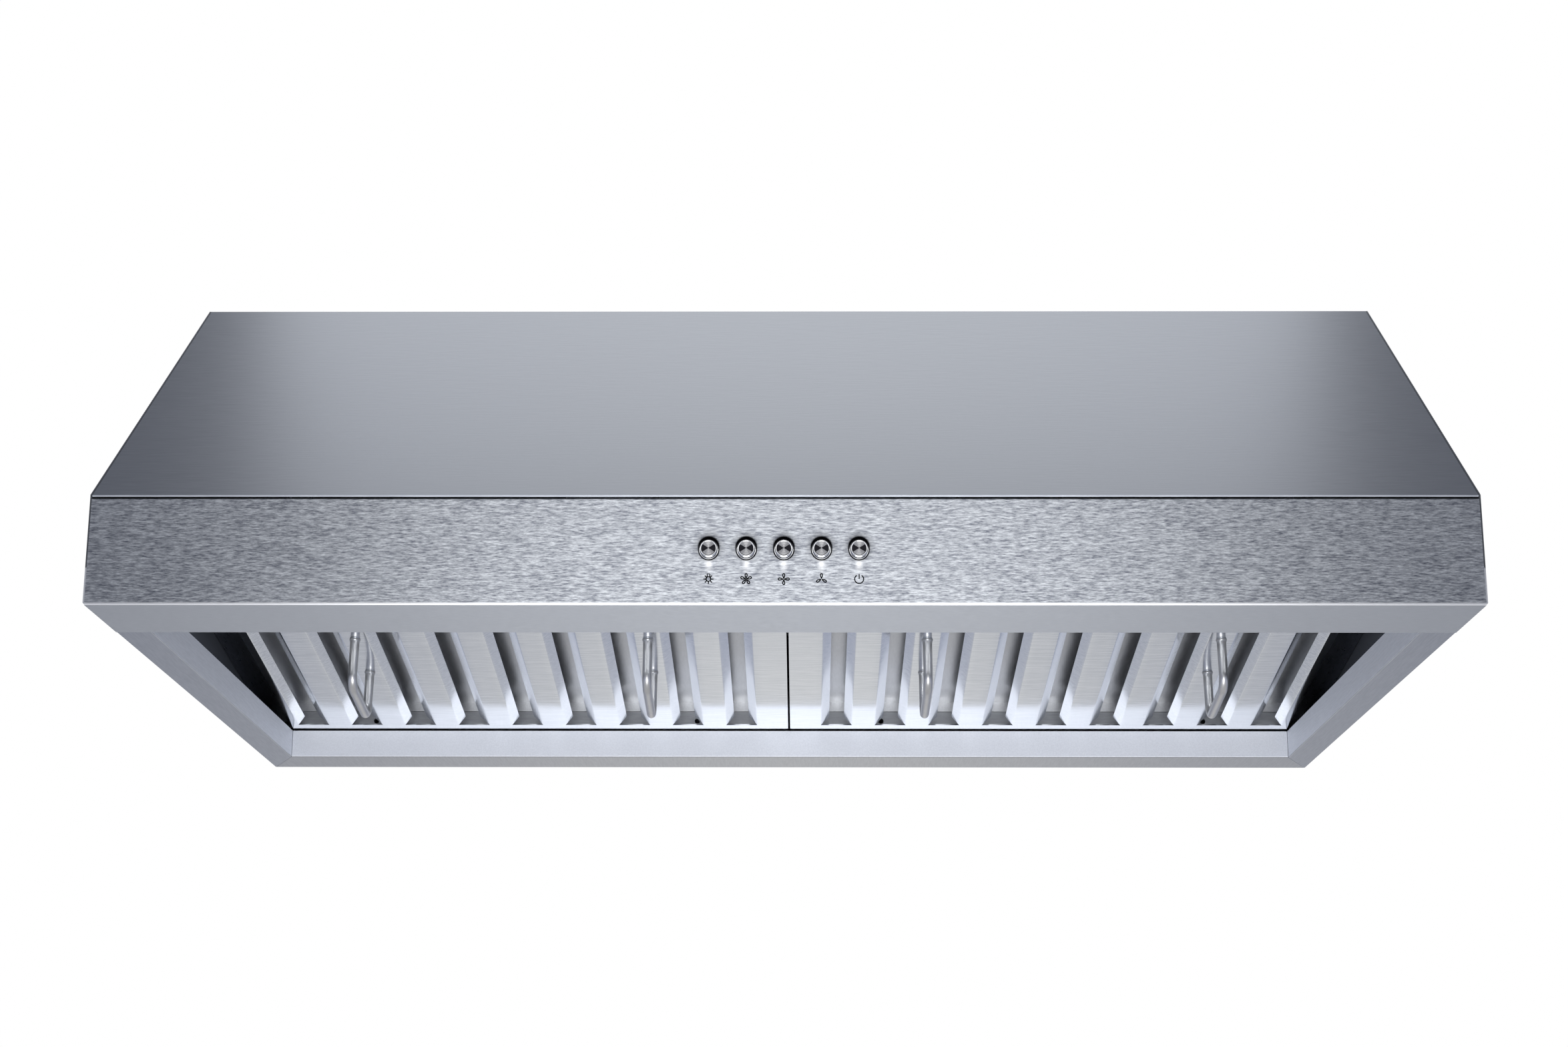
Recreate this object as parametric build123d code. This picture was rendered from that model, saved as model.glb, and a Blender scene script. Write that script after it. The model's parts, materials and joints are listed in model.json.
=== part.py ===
from build123d import *
import math
import os

os.makedirs("parts", exist_ok=True)

# The hood is drawn from the middle of its front bottom edge: X to the right, Y to the back, Z up.
# save() then moves every piece so that the origin is the duct collar's centre on the top sheet.

# Canopy
WIDTH = 756.0
DEPTH = 526.0
HEIGHT = 253.5
PANEL_HEIGHT = 61.0  # vertical front panel
TOP_EDGE_Y = 241.5  # where the sloped front meets the flat top
SHEET = 1.0
BEND = 0.8  # inside radius of the sheet bends
SEAM = 0.2  # gap between neighbouring sheets
LIP_DEPTH = 68.0  # flange under the front panel
SIDE_FLANGE = 20.3
REAR_FLANGE = 44.2
RETURN_HEIGHT = 20.0
INNER_X = WIDTH / 2 - SIDE_FLANGE  # inner face of the side return walls
INNER_Y = DEPTH - REAR_FLANGE  # inner face of the rear return wall
BETWEEN_SIDES = WIDTH - 2 * (SHEET + SEAM)
PANEL_TOP = PANEL_HEIGHT - 1.5  # the panel's upper fold, under the slope's edge
PANEL_FLANGE = 14.0  # turned in behind the panel's upper edge
LIP_HEM = 9.0  # turned up at the back of the lip
WRAP_HEM = 12.0  # turned down where the top meets the back
SIDE_SCREW_Y = DEPTH - 8.0
SIDE_SCREW_Z = (60.0, 150.0, 235.0)
SIDE_SCREW_R = 1.9
BRACKET_LEG = 16.0
BRACKET_Z = (30.0, 240.0)
CUT = 5.0  # how far a cutting solid runs past the sheet on each side

# Cabinet screws, round the duct's centre, and the wiring entry
MOUNT_SPACING_X = 660.0
MOUNT_SPACING_Y = 160.0
MOUNT_HOLE_R = 3.5
WIRING_X = 250.0
WIRING_Y = 440.0
WIRING_CUTOUT = 50.0
WIRING_ENTRY_R = 11.1
KNOCKOUT_SIZE = 66.0
KNOCKOUT_SHEET = 1.2
BOX_HALF_X = 50.0
BOX_HALF_Y = 45.0
BOX_HEIGHT = 60.0
LEAD_DROP = 30.0  # where the internal leads enter the box, below its top
LEAD_R = 3.5

# Rear outlet, closed by a plate, and the keyholes that hang the hood on a wall
OUTLET_HALF = 127.0
OUTLET_Z = (150.0, 232.0)
COVER_LAP = 10.0
COVER_PLAY = 1.0
KEYHOLE_X = 300.0
KEYHOLE_Z = 200.0
KEYHOLE_R = 4.5

# Duct collar and damper
DUCT_Y = 418.0
COLLAR_R = 75.0
COLLAR_HEIGHT = 32.0
COLLAR_FLANGE = 10.0
COLLAR_SCREW_R = 1.6
COLLAR_SCREW_REACH = 5.5  # from the tube to each flange screw
DAMPER_Z = 14.0  # flap pin above the top sheet
FLAP_HALF_SHEET = 0.4
FLAP_PLAY = 2.5
KNUCKLE_WALL = 1.2
KNUCKLE_LENGTH = 18.0
PIN_R = 1.5
RUNNING = 0.05  # radial clearance of running fits

# Filters: hinged along the rear bottom edge, high at the front
FILTER_TILT = 8.0
PIVOT_Y = INNER_Y - 0.5
PIVOT_Z = RETURN_HEIGHT + 1.0
FILTER_GAP = 1.5
FILTER_WIDTH = 356.2
FILTER_FRONT = 325.0  # from the pivot to the front edge
FILTER_REAR = 16.0  # from the pivot to the rear edge
FILTER_HEIGHT = 20.0
SLOTS = 9
SLOT_PITCH = 38.35
FIRST_SLOT = 33.1  # from the inner edge to the first slot's centre
SLOT_HALF = 5.2
WING = 6.0  # sloped side of each baffle
WING_RISE = 8.0
END_LIP = 10.0
FACE = 0.8
FRAME_LIP_INNER = 10.0  # top lip along the edge beside the other filter
FRAME_LIP_OUTER = 4.0
FRAME_LIP_ENDS = 12.0
INNER_WALL = WING_RISE + 2.0  # low walls across the slots' ends
CHANNEL_HALF = 14.0
CHANNEL_TOP = FILTER_HEIGHT - 2.0
CHANNEL_PLAY = 3.0  # from the channels' ends to the frame
DRAIN_SLOTS = (1, 7)
DRAIN_OFFSET = 6.5  # from the slot's centre towards the inner edge
DRAIN_R = 2.0
HANDLE_WIRE_R = 3.0
HANDLE_SPAN = 63.0
HANDLE_DROP = 32.0
HANDLE_Y = -153.0
HANDLE_BEND = 9.0
HANDLE_SLOTS = (2, 7)  # a handle stands on the strip before each of these slots

# Lamps
LAMP_X = 240.0
LAMP_PANEL_FRONT = (LIP_DEPTH + 2.0, RETURN_HEIGHT + 1.6)
LAMP_PANEL_REAR = (149.0, 64.0)
LAMP_R = 30.0
LAMP_UPSTAND = 26.0
LAMP_FLANGE = 14.0
LAMP_TUBE_R = LAMP_R - 2.3
LAMP_LENS_R = LAMP_R - 5.0
LAMP_COLLAR = 6.0  # depth of the bezel's collar through the panel
LAMP_CAN = 14.0
CLIP_SHEET = 0.8
CLIP_WIDTH = 8.0
CATCH_X = (-300.0, -60.0, 60.0, 300.0)
CATCH_HALF = 12.0
CATCH_SHEET = 0.5

# Blower
WHEEL_Y = 366.0
WHEEL_Z = 152.0
WHEEL_R = 58.0
WHEEL_HALF = 54.0
SCROLL_HALF = 62.0
SCROLL_START_R = 64.0
SCROLL_END_R = 92.0
SCROLL_START = 80  # degrees from the back, at the cut-off
SCROLL_END = 360
SCROLL_STEP = 20
SCROLL_TAB = 10.0
BLADES = 32
BLADE_DEPTH = 10.0
SHAFT_R = 4.0
INLET_R = 48.0
HUB_R = 10.0
MOTOR_X = -92.0  # the motor's end that faces the wheel
MOTOR_LENGTH = 58.0
MOTOR_R = 40.0
MOTOR_SHELL = 2.0
MOTOR_BAND = 1.5
BEARING_R = 8.0
BEARING_LENGTH = 7.0
STACK_LENGTH = 28.0  # stator and rotor laminations
STACK_START = MOTOR_X - MOTOR_LENGTH / 2 - STACK_LENGTH / 2
ROTOR_R = 22.0
AIR_GAP = 0.5
FOOT_R = 59.0  # the motor bracket's feet, from the wheel's axis
FOOT_X = -SCROLL_HALF - 7.0
FOOT_SCREW_R = 2.0
BUSH_LENGTH = 6.0
BRACKET_TURNS = (90, 210, 330)

# Buttons
BUTTON_NAMES = ("light", "fan_high", "fan_medium", "fan_low", "power")
BUTTON_PITCH = 20.3
BUTTON_Z = 30.5
CAP_R = 4.6
CAP_PROUD = 5.0
BEZEL_R = 5.75
CAP_BACK = 5.5
STEM_R = 2.5
STEM_END = 14.0
SWITCH_FRONT = 9.0
SWITCH_DEPTH = 16.0
SWITCH_HALF_Z = 9.0
SWITCH_BACK = SWITCH_FRONT + SWITCH_DEPTH
STEM_BORE_END = SWITCH_BACK - 3.0
BEZEL_PROUD = 1.4
BEZEL_BORE_R = CAP_R + 0.3
BEZEL_NECK_R = BEZEL_R - 0.5
BEZEL_NECK = 4.5
CHAMFER = 0.6
PLATE_HALF_Z = 12.0
PLATE_SHEET = 1.2


def save(name, *shapes):
    solids = [solid for shape in shapes for solid in shape.solids()]
    body = Compound(children=solids) if len(solids) > 1 else solids[0]
    export_step(body.moved(Location((0, -DUCT_Y, -HEIGHT))), f"parts/{name}.step")


def sheet_profile(points, thickness=SHEET, side=Side.RIGHT, radius=BEND):
    """Closed outline of a bent sheet: points run along one face and the sheet lies to one side."""
    path = Wire(FilletPolyline(*points, radius=radius).edges())
    return path.offset_2d(thickness, side=side, closed=True)


def bent_along_x(points, x_from, x_to, **options):
    flat = sheet_profile(points, **options)
    return extrude(Plane.YZ.offset(x_from) * Face(flat), x_to - x_from, dir=(1, 0, 0))


def bent_along_y(points, y_from, y_to, **options):
    flat = sheet_profile(points, **options)
    return extrude(Plane.XZ.offset(-y_from) * Face(flat), y_to - y_from, dir=(0, 1, 0))


def prism_x(points, x_from, x_to):
    """Solid with a polygon of (Y, Z) points for its end faces."""
    outline = Plane.YZ.offset(x_from) * make_face(Polyline(*points, close=True))
    return extrude(outline, x_to - x_from, dir=(1, 0, 0))


def prism_z(points, z_from, z_to):
    """Solid with a polygon of (X, Y) points for its end faces."""
    outline = Plane.XY.offset(z_from) * make_face(Polyline(*points, close=True))
    return extrude(outline, z_to - z_from, dir=(0, 0, 1))


def block(x, y, z):
    """Box between pairs of limits."""
    centre = [(low + high) / 2 for low, high in (x, y, z)]
    return Pos(*centre) * Box(x[1] - x[0], y[1] - y[0], z[1] - z[0])


def rod(start, direction, radius, length):
    """Cylinder from a start point along a direction."""
    return Solid.make_cylinder(radius, length, Plane(origin=start, z_dir=direction))


def ring(start, direction, outer, inner, length):
    return rod(start, direction, outer, length) - rod(start, direction, inner, length)


def drill(point, direction, radius, reach=CUT):
    """Cutting cylinder that runs to both sides of a point."""
    start = [p - reach * d for p, d in zip(point, direction)]
    return rod(start, direction, radius, 2 * reach)


def about_wheel(shape, turn=0.0):
    """Shape drawn round the X axis, turned about it and moved to the wheel's axis."""
    return Pos(0, WHEEL_Y, WHEEL_Z) * Rot(turn, 0, 0) * shape


def mirror_x(shape):
    return mirror(shape, about=Plane.YZ)


def side_outline():
    """The canopy's side view: vertical panel, slope, flat top, back."""
    return [(0, 0), (0, PANEL_HEIGHT), (TOP_EDGE_Y, HEIGHT), (DEPTH, HEIGHT), (DEPTH, 0)]


# ---- Canopy sheets ----


def side_panel():
    """Right side: wall, bottom flange with a mitred rear corner, and inner return wall."""
    outer = WIDTH / 2
    bent = bent_along_y(
        [(outer, HEIGHT), (outer, SHEET), (INNER_X, SHEET), (INNER_X, RETURN_HEIGHT)],
        SHEET + SEAM,
        DEPTH - SHEET - SEAM,
    )
    bent &= prism_x(side_outline(), INNER_X - 1, outer + 1)
    behind_mitre = prism_z(
        [
            (INNER_X - 1, INNER_Y - SEAM),
            (INNER_X, INNER_Y - SEAM),
            (outer - SHEET - SEAM, DEPTH - 2 * SHEET),
            (outer - SHEET - SEAM, DEPTH + 1),
            (INNER_X - 1, DEPTH + 1),
        ],
        0,
        RETURN_HEIGHT + 1,
    )
    screw_holes = [drill((outer, SIDE_SCREW_Y, z), (1, 0, 0), SIDE_SCREW_R + 0.1) for z in SIDE_SCREW_Z]
    return bent - behind_mitre - screw_holes


def front_panel():
    """Front: inner stiffening flange, vertical face with button holes, and the bottom lip with its hem."""
    face = bent_along_x(
        [(PANEL_FLANGE, PANEL_TOP), (0, PANEL_TOP), (0, 0), (LIP_DEPTH, 0), (LIP_DEPTH, LIP_HEM)],
        -BETWEEN_SIDES / 2,
        BETWEEN_SIDES / 2,
        side=Side.LEFT,
    )
    notch = block((INNER_X - 2, WIDTH), (SHEET * 2, LIP_DEPTH + 1), (SHEET, RETURN_HEIGHT))
    holes = [drill((x, 0, BUTTON_Z), (0, 1, 0), BEZEL_NECK_R) for x in button_places()]
    return face - holes - notch - mirror_x(notch)


def top_wrap():
    """Sloped front and flat top in one bent sheet, with the duct hole and the wiring hole."""
    steepness = (HEIGHT - PANEL_HEIGHT) / TOP_EDGE_Y
    setback = 0.6  # of the sheet's front edge behind the panel
    start = (setback, PANEL_HEIGHT + setback * steepness)
    sheet = bent_along_x(
        [
            start,
            (TOP_EDGE_Y, HEIGHT),
            (DEPTH - SHEET - SEAM, HEIGHT),
            (DEPTH - SHEET - SEAM, HEIGHT - WRAP_HEM),
        ],
        -BETWEEN_SIDES / 2,
        BETWEEN_SIDES / 2,
    )
    duct_hole = drill((0, DUCT_Y, HEIGHT), (0, 0, 1), COLLAR_R - SHEET)
    mounting = [drill((x, y, HEIGHT), (0, 0, 1), MOUNT_HOLE_R) for x, y in mount_places()]
    return sheet - duct_hole - wiring_cutout() - mounting


def wiring_cutout():
    return Pos(WIRING_X, WIRING_Y, HEIGHT) * Box(WIRING_CUTOUT, WIRING_CUTOUT, 2 * CUT)


def mount_places():
    half_x = MOUNT_SPACING_X / 2
    half_y = MOUNT_SPACING_Y / 2
    return [(sx * half_x, DUCT_Y + sy * half_y) for sx in (-1, 1) for sy in (-1, 1)]


def back_panel():
    """Back: wall, bottom flange with mitred ends, inner return wall, and the rear duct cut-out."""
    half = BETWEEN_SIDES / 2
    bent = bent_along_x(
        [(DEPTH, HEIGHT), (DEPTH, SHEET), (INNER_Y, SHEET), (INNER_Y, RETURN_HEIGHT)],
        -half,
        half,
    )
    for side in (-1, 1):
        bent -= prism_z(
            [
                (side * (INNER_X - SEAM), INNER_Y - 2),
                (side * (INNER_X - SEAM), INNER_Y),
                (side * (half - SEAM), DEPTH - 2 * SHEET),
                (side * (half + CUT), DEPTH - 2 * SHEET),
                (side * (half + CUT), INNER_Y - 2),
            ],
            0,
            RETURN_HEIGHT + 1,
        )
    through = (DEPTH - CUT, DEPTH + CUT)
    under_top = block((-WIDTH, WIDTH), through, (HEIGHT - SHEET - SEAM, HEIGHT + 1))
    outlet = block((-OUTLET_HALF, OUTLET_HALF), through, OUTLET_Z)
    keyholes = [drill((side * KEYHOLE_X, DEPTH, KEYHOLE_Z), (0, 1, 0), KEYHOLE_R) for side in (-1, 1)]
    return bent - under_top - outlet - keyholes


def rear_duct_cover():
    """Plate that closes the rectangular rear outlet, dished into the cut-out."""
    low, high = OUTLET_Z
    lap_x = OUTLET_HALF + COVER_LAP
    dish_x = OUTLET_HALF - COVER_PLAY
    plate = block((-lap_x, lap_x), (DEPTH - 2 * SHEET, DEPTH - SHEET), (low - 8, high + 8))
    dish = block((-dish_x, dish_x), (DEPTH - SHEET, DEPTH - SEAM), (low + COVER_PLAY, high - COVER_PLAY))
    return plate + dish


def filter_rail():
    """Right rail on the side wall: vertical leg and the ledge that closes the gap beside a filter."""
    wall = WIDTH / 2 - SHEET
    ledge_in = INNER_X + 1.4
    ledge_z = 6.0
    leg_top = ledge_z + 18.0
    points = [(ledge_in, ledge_z), (wall, ledge_z), (wall, leg_top)]
    rail = bent_along_y(points, CUT - FILTER_FRONT, 0, side=Side.LEFT)
    return Pos(0, PIVOT_Y, PIVOT_Z) * Rot(-FILTER_TILT, 0, 0) * rail


def lamp_slope():
    (y0, z0), (y1, z1) = LAMP_PANEL_FRONT, LAMP_PANEL_REAR
    return math.degrees(math.atan2(z1 - z0, y1 - y0))


def lamp_plane(x, share):
    """Plane on the lamp panel's lower face, at a share of its depth; its normal points down and back."""
    (y0, z0), (y1, z1) = LAMP_PANEL_FRONT, LAMP_PANEL_REAR
    tilt = math.radians(lamp_slope())
    origin = (x, y0 + share * (y1 - y0), z0 + share * (z1 - z0))
    return Plane(origin=origin, x_dir=(1, 0, 0), z_dir=(0, math.sin(tilt), -math.cos(tilt)))


def lamp_panel():
    """Inclined sheet from the front lip to the filters' front edge, with a hole for each lamp."""
    (y0, z0), (y1, z1) = LAMP_PANEL_FRONT, LAMP_PANEL_REAR
    sheet = bent_along_x(
        [(y0 - LAMP_FLANGE, z0), (y0, z0), (y1, z1), (y1, z1 + LAMP_UPSTAND)],
        -BETWEEN_SIDES / 2,
        BETWEEN_SIDES / 2,
        side=Side.LEFT,
    )
    for side in (-1, 1):
        sheet -= extrude(lamp_plane(side * LAMP_X, 0.5) * Circle(LAMP_R - 2), 4, both=True)
    return sheet


# ---- Grease filters, drawn flat with the pivot at the origin, then tilted into place ----


def placed_filter(shape, side):
    """side +1 is the right filter, drawn with its inner edge at X = 0."""
    right = Pos(FILTER_GAP / 2, PIVOT_Y, PIVOT_Z) * Rot(-FILTER_TILT, 0, 0) * shape
    return right if side > 0 else mirror_x(right)


def slot_centres():
    return [FIRST_SLOT + i * SLOT_PITCH for i in range(SLOTS)]


def filter_face():
    """Pressed lower face: a plate with a long slot between sloped wings, repeated across."""
    front = -FILTER_FRONT + END_LIP
    face = block((0, FILTER_WIDTH), (-FILTER_FRONT, FILTER_REAR), (0, FACE))
    window = SLOT_HALF + WING
    cuts = [block((x - window, x + window), (front, -END_LIP), (-CUT, CUT)) for x in slot_centres()]
    slopes = []
    end_play = 0.5
    length = FILTER_FRONT - 2 * END_LIP - 2 * end_play
    overlap = 0.4  # of a wing's foot with the plate
    for x in slot_centres():
        for s in (-1, 1):
            outline = [
                (x + s * window, 0),
                (x + s * SLOT_HALF, WING_RISE),
                (x + s * SLOT_HALF, WING_RISE + FACE),
                (x + s * (window + overlap), FACE),
                (x + s * (window + overlap), 0),
            ]
            section = Plane.XZ.offset(-front - end_play) * make_face(Polyline(*outline, close=True))
            slopes.append(extrude(section, length, dir=(0, 1, 0)))
    plate = face - cuts
    return plate.fuse(*slopes)


def filter_frame():
    """Channel ring above the face: outer wall, top lip, and low inner walls with two drain holes."""
    across = (SHEET, FILTER_WIDTH - SHEET)
    outer = block((0, FILTER_WIDTH), (-FILTER_FRONT, FILTER_REAR), (FACE, FILTER_HEIGHT))
    inside = block(across, (SHEET - FILTER_FRONT, FILTER_REAR - SHEET), (0, FILTER_HEIGHT - SHEET))
    opening = block(
        (FRAME_LIP_INNER, FILTER_WIDTH - FRAME_LIP_OUTER),
        (FRAME_LIP_ENDS - FILTER_FRONT, FILTER_REAR - FRAME_LIP_ENDS),
        (0, FILTER_HEIGHT + CUT),
    )
    frame = outer - inside - opening
    for y in end_wall_places():
        frame += block(across, (y, y + SHEET), (FACE, INNER_WALL))
    drains = [
        drill((slot_centres()[i] - DRAIN_OFFSET, -END_LIP, FACE + DRAIN_R + 0.2), (0, 1, 0), DRAIN_R)
        for i in DRAIN_SLOTS
    ]
    return frame - drains


def end_wall_places():
    """Front faces of the low inner walls: at the rear and at the front end of the slots."""
    return (-END_LIP, END_LIP - FILTER_FRONT - SHEET)


def filter_upper_baffles():
    """Inverted channels over the slots, resting on the low inner walls and closed above them."""
    low = INNER_WALL
    high = CHANNEL_TOP
    inner = CHANNEL_HALF - FACE / 2
    joint = 0.3  # open line between an end plate and the wall under it
    channels = []
    for x in slot_centres():
        points = [
            (x - CHANNEL_HALF, low),
            (x - CHANNEL_HALF, high),
            (x + CHANNEL_HALF, high),
            (x + CHANNEL_HALF, low),
        ]
        channel = bent_along_y(
            points, CHANNEL_PLAY - FILTER_FRONT, FILTER_REAR - CHANNEL_PLAY, thickness=FACE
        )
        plates = [
            block((x - inner, x + inner), (y, y + FACE), (low + joint, high - FACE / 2))
            for y in end_wall_places()
        ]
        channels.append(channel.fuse(*plates))
    return channels


def filter_handles():
    """Two wire handles: round staples whose legs stand square on the face."""
    handles = []
    for index in HANDLE_SLOTS:
        x = slot_centres()[index] - SLOT_PITCH / 2
        y0 = HANDLE_Y - HANDLE_SPAN / 2
        y1 = HANDLE_Y + HANDLE_SPAN / 2
        drop = -HANDLE_DROP
        path = FilletPolyline(
            (x, y0, 0), (x, y0, drop), (x, y1, drop), (x, y1, 0), radius=HANDLE_BEND
        )
        handles.append(sweep(Plane((x, y0, 0), z_dir=(0, 0, -1)) * Circle(HANDLE_WIRE_R), path=path))
    return handles


def filter_catches():
    """Leaf springs on the lamp panel's upstand, one beside each filter's front corner."""
    y, z = LAMP_PANEL_REAR
    bulge = 2.0
    points = [(y, z + 20), (y, z + 8), (y + bulge, z + 4), (y + bulge * 0.3, z - 1)]
    leaves = []
    for x in CATCH_X:
        leaves.append(
            bent_along_x(
                points, x - CATCH_HALF, x + CATCH_HALF, thickness=CATCH_SHEET, side=Side.LEFT, radius=0.6
            )
        )
    return leaves


# ---- Lamps ----


def lamp_parts(x):
    """Bezel below the panel, lens inside it, driver housing above."""
    plane = lamp_plane(x, 0.5)
    behind = plane.offset(-LAMP_COLLAR)
    bezel = extrude(plane * (Circle(LAMP_R + 4) - Circle(LAMP_LENS_R)), 2.0)
    collar = extrude(plane * (Circle(LAMP_TUBE_R) - Circle(LAMP_LENS_R)), -LAMP_COLLAR)
    lens = extrude(plane.offset(-1.0) * Circle(LAMP_LENS_R - 0.2), 2.5)
    can = extrude(behind * Circle(LAMP_TUBE_R), -LAMP_CAN)
    can -= extrude(behind * Circle(LAMP_TUBE_R - 2), 2 - LAMP_CAN)
    board = extrude(behind * Circle(LAMP_TUBE_R - 2.3), -1.6)
    return bezel + collar, lens, can, board


def lamp_clips():
    """Two spring clips on each lamp that grip the panel's upper face."""
    half = CLIP_WIDTH / 2
    leg_in = LAMP_R - 2.3
    leg_out = leg_in + CLIP_SHEET
    arm_end = LAMP_R + 10.2
    arm = block((leg_in, arm_end), (-half, half), (-CLIP_SHEET, 0))
    leg = block((leg_in, leg_out), (-half, half), (-12 - CLIP_SHEET, -CLIP_SHEET))
    right = arm + leg
    clips = []
    for x in (-LAMP_X, LAMP_X):
        above_panel = lamp_plane(x, 0.5).offset(-SHEET - 0.05).location
        clips += [above_panel * right, above_panel * mirror_x(right)]
    return clips


# ---- Duct collar and backdraft damper ----


def duct_collar():
    """Round spigot with a flange that lies on the top sheet."""
    base = (0, DUCT_Y, HEIGHT)
    bore = COLLAR_R - SHEET
    tube = ring(base, (0, 0, 1), COLLAR_R, bore, COLLAR_HEIGHT)
    flange = ring(base, (0, 0, 1), COLLAR_R + COLLAR_FLANGE, bore, SHEET)
    pin_hole = drill((0, DUCT_Y, HEIGHT + DAMPER_Z), (1, 0, 0), PIN_R, COLLAR_R + 1)
    screws = [drill((x, y, HEIGHT), (0, 0, 1), COLLAR_SCREW_R) for x, y in collar_screw_places()]
    return tube + flange - pin_hole - screws


def collar_screw_places():
    reach = COLLAR_R + COLLAR_SCREW_REACH
    turns = [math.radians(a) for a in (45, 135, 225, 315)]
    return [(reach * math.cos(a), DUCT_Y + reach * math.sin(a)) for a in turns]


def damper_pin():
    return rod((-COLLAR_R, DUCT_Y, HEIGHT + DAMPER_Z), (1, 0, 0), PIN_R, 2 * COLLAR_R)


def damper_flap(side):
    """Half disc on the pin's side, with two knuckles round the pin."""
    z = HEIGHT + DAMPER_Z
    axis_at = (0, DUCT_Y, z)
    sheet = (z - FLAP_HALF_SHEET, z + FLAP_HALF_SHEET)
    disc = rod((0, DUCT_Y, sheet[0]), (0, 0, 1), COLLAR_R - FLAP_PLAY, 2 * FLAP_HALF_SHEET)
    disc &= block((-COLLAR_R, COLLAR_R), sorted((DUCT_Y, DUCT_Y + side * COLLAR_R)), (z - 1, z + 1))
    room = drill(axis_at, (1, 0, 0), PIN_R + KNUCKLE_WALL + 0.5, COLLAR_R)
    starts = (-60, 20) if side > 0 else (-40, 40)
    knuckles = [
        rod((x, DUCT_Y, z), (1, 0, 0), PIN_R + KNUCKLE_WALL, KNUCKLE_LENGTH) for x in starts
    ]
    straps = [
        block((x, x + KNUCKLE_LENGTH), sorted((DUCT_Y, DUCT_Y + side * 6)), sheet) for x in starts
    ]
    flap = (disc - room).fuse(*knuckles, *straps)
    return flap - drill(axis_at, (1, 0, 0), PIN_R + RUNNING, COLLAR_R)


# ---- Blower ----


def scroll_radius(angle):
    """Spiral that opens from the cut-off near the top, round the front and bottom, to the rear."""
    share = (angle - SCROLL_START) / (SCROLL_END - SCROLL_START)
    return SCROLL_START_R + share * (SCROLL_END_R - SCROLL_START_R)


def scroll_point(angle, extra=0.0):
    turn = math.radians(angle)
    reach = scroll_radius(angle) + extra
    return (WHEEL_Y + reach * math.cos(turn), WHEEL_Z + reach * math.sin(turn))


def scroll_path(extra=0.0):
    """Inner (or, with extra, outer) edge of the scroll: throat side, spiral, rear side."""
    top = HEIGHT - SHEET
    angles = range(SCROLL_START, SCROLL_END + 1, SCROLL_STEP)
    spiral = Spline(*[scroll_point(a, extra) for a in angles])
    start = spiral @ 0
    end = spiral @ 1
    return [Line((start.X, top), (start.X, start.Y)), spiral, Line((end.X, end.Y), (end.X, top))]


def scroll_face(extra=0.0):
    edges = scroll_path(extra)
    closing = Line(edges[2] @ 1, edges[0] @ 0)
    return make_face(Curve() + edges + closing)


def blower_scroll():
    """Wrap sheet between the two side plates."""
    wall = scroll_face(1.0) - scroll_face(0.0)
    return extrude(Plane.YZ.offset(-SCROLL_HALF) * wall, 2 * SCROLL_HALF, dir=(1, 0, 0))


def blower_side():
    """Right side plate with its inlet hole and a turned-out edge under the top sheet."""
    plate = extrude(Plane.YZ.offset(SCROLL_HALF) * scroll_face(1.0), 1.0, dir=(1, 0, 0))
    throat = (scroll_point(SCROLL_START, 1.0)[0], scroll_point(SCROLL_END, 1.0)[0])
    under_top = (HEIGHT - 2 * SHEET, HEIGHT - SHEET)
    tab = block((SCROLL_HALF, SCROLL_HALF + SCROLL_TAB), throat, under_top)
    inlet = drill((SCROLL_HALF, WHEEL_Y, WHEEL_Z), (1, 0, 0), INLET_R + 2)
    return plate + tab - inlet


def inlet_ring():
    """Bell-mouthed ring in the right side plate's hole, reaching towards the wheel."""
    profile = [
        (SCROLL_HALF + 3, INLET_R + 5),
        (SCROLL_HALF + 1, INLET_R + 5),
        (SCROLL_HALF + 1, INLET_R + 2),
        (SCROLL_HALF - 3, INLET_R + 1),
        (SCROLL_HALF - 3, INLET_R),
        (SCROLL_HALF + 1, INLET_R + 1),
        (SCROLL_HALF + 3, INLET_R + 4),
    ]
    outline = make_face(Polyline(*profile, close=True))
    return about_wheel(revolve(Plane.XY * outline, Axis.X))


def impeller():
    """Double-inlet wheel: centre disc, two end rings and forward-curved blades."""
    disc = ring((-1, 0, 0), (1, 0, 0), WHEEL_R - 1, HUB_R, 2)
    inner = WHEEL_R - BLADE_DEPTH
    middle = WHEEL_R - BLADE_DEPTH / 2
    outer = WHEEL_R - 0.5
    rings = [ring((x, 0, 0), (1, 0, 0), WHEEL_R, inner, 2) for x in (-WHEEL_HALF, WHEEL_HALF - 2)]
    blade_face = Plane.YZ * make_face(
        Curve()
        + ThreePointArc((inner, -1), (middle, -3.2), (outer, 0))
        + Line((outer, 0), (outer, 1))
        + ThreePointArc((outer, 1), (middle, -2.2), (inner, 0))
        + Line((inner, 0), (inner, -1))
    )
    blade = extrude(blade_face, WHEEL_HALF - 1, both=True)
    blades = [Rot(i * 360 / BLADES, 0, 0) * blade for i in range(BLADES)]
    return about_wheel(disc.fuse(*rings, *blades))


def impeller_hub():
    """Turned boss riveted in the wheel's disc and clamped on the shaft."""
    return about_wheel(ring((-12, 0, 0), (1, 0, 0), HUB_R, SHAFT_R, 24))


def motor_shaft():
    start = MOTOR_X - MOTOR_LENGTH - 4
    return rod((start, WHEEL_Y, WHEEL_Z), (1, 0, 0), SHAFT_R, 14 - start)


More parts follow.
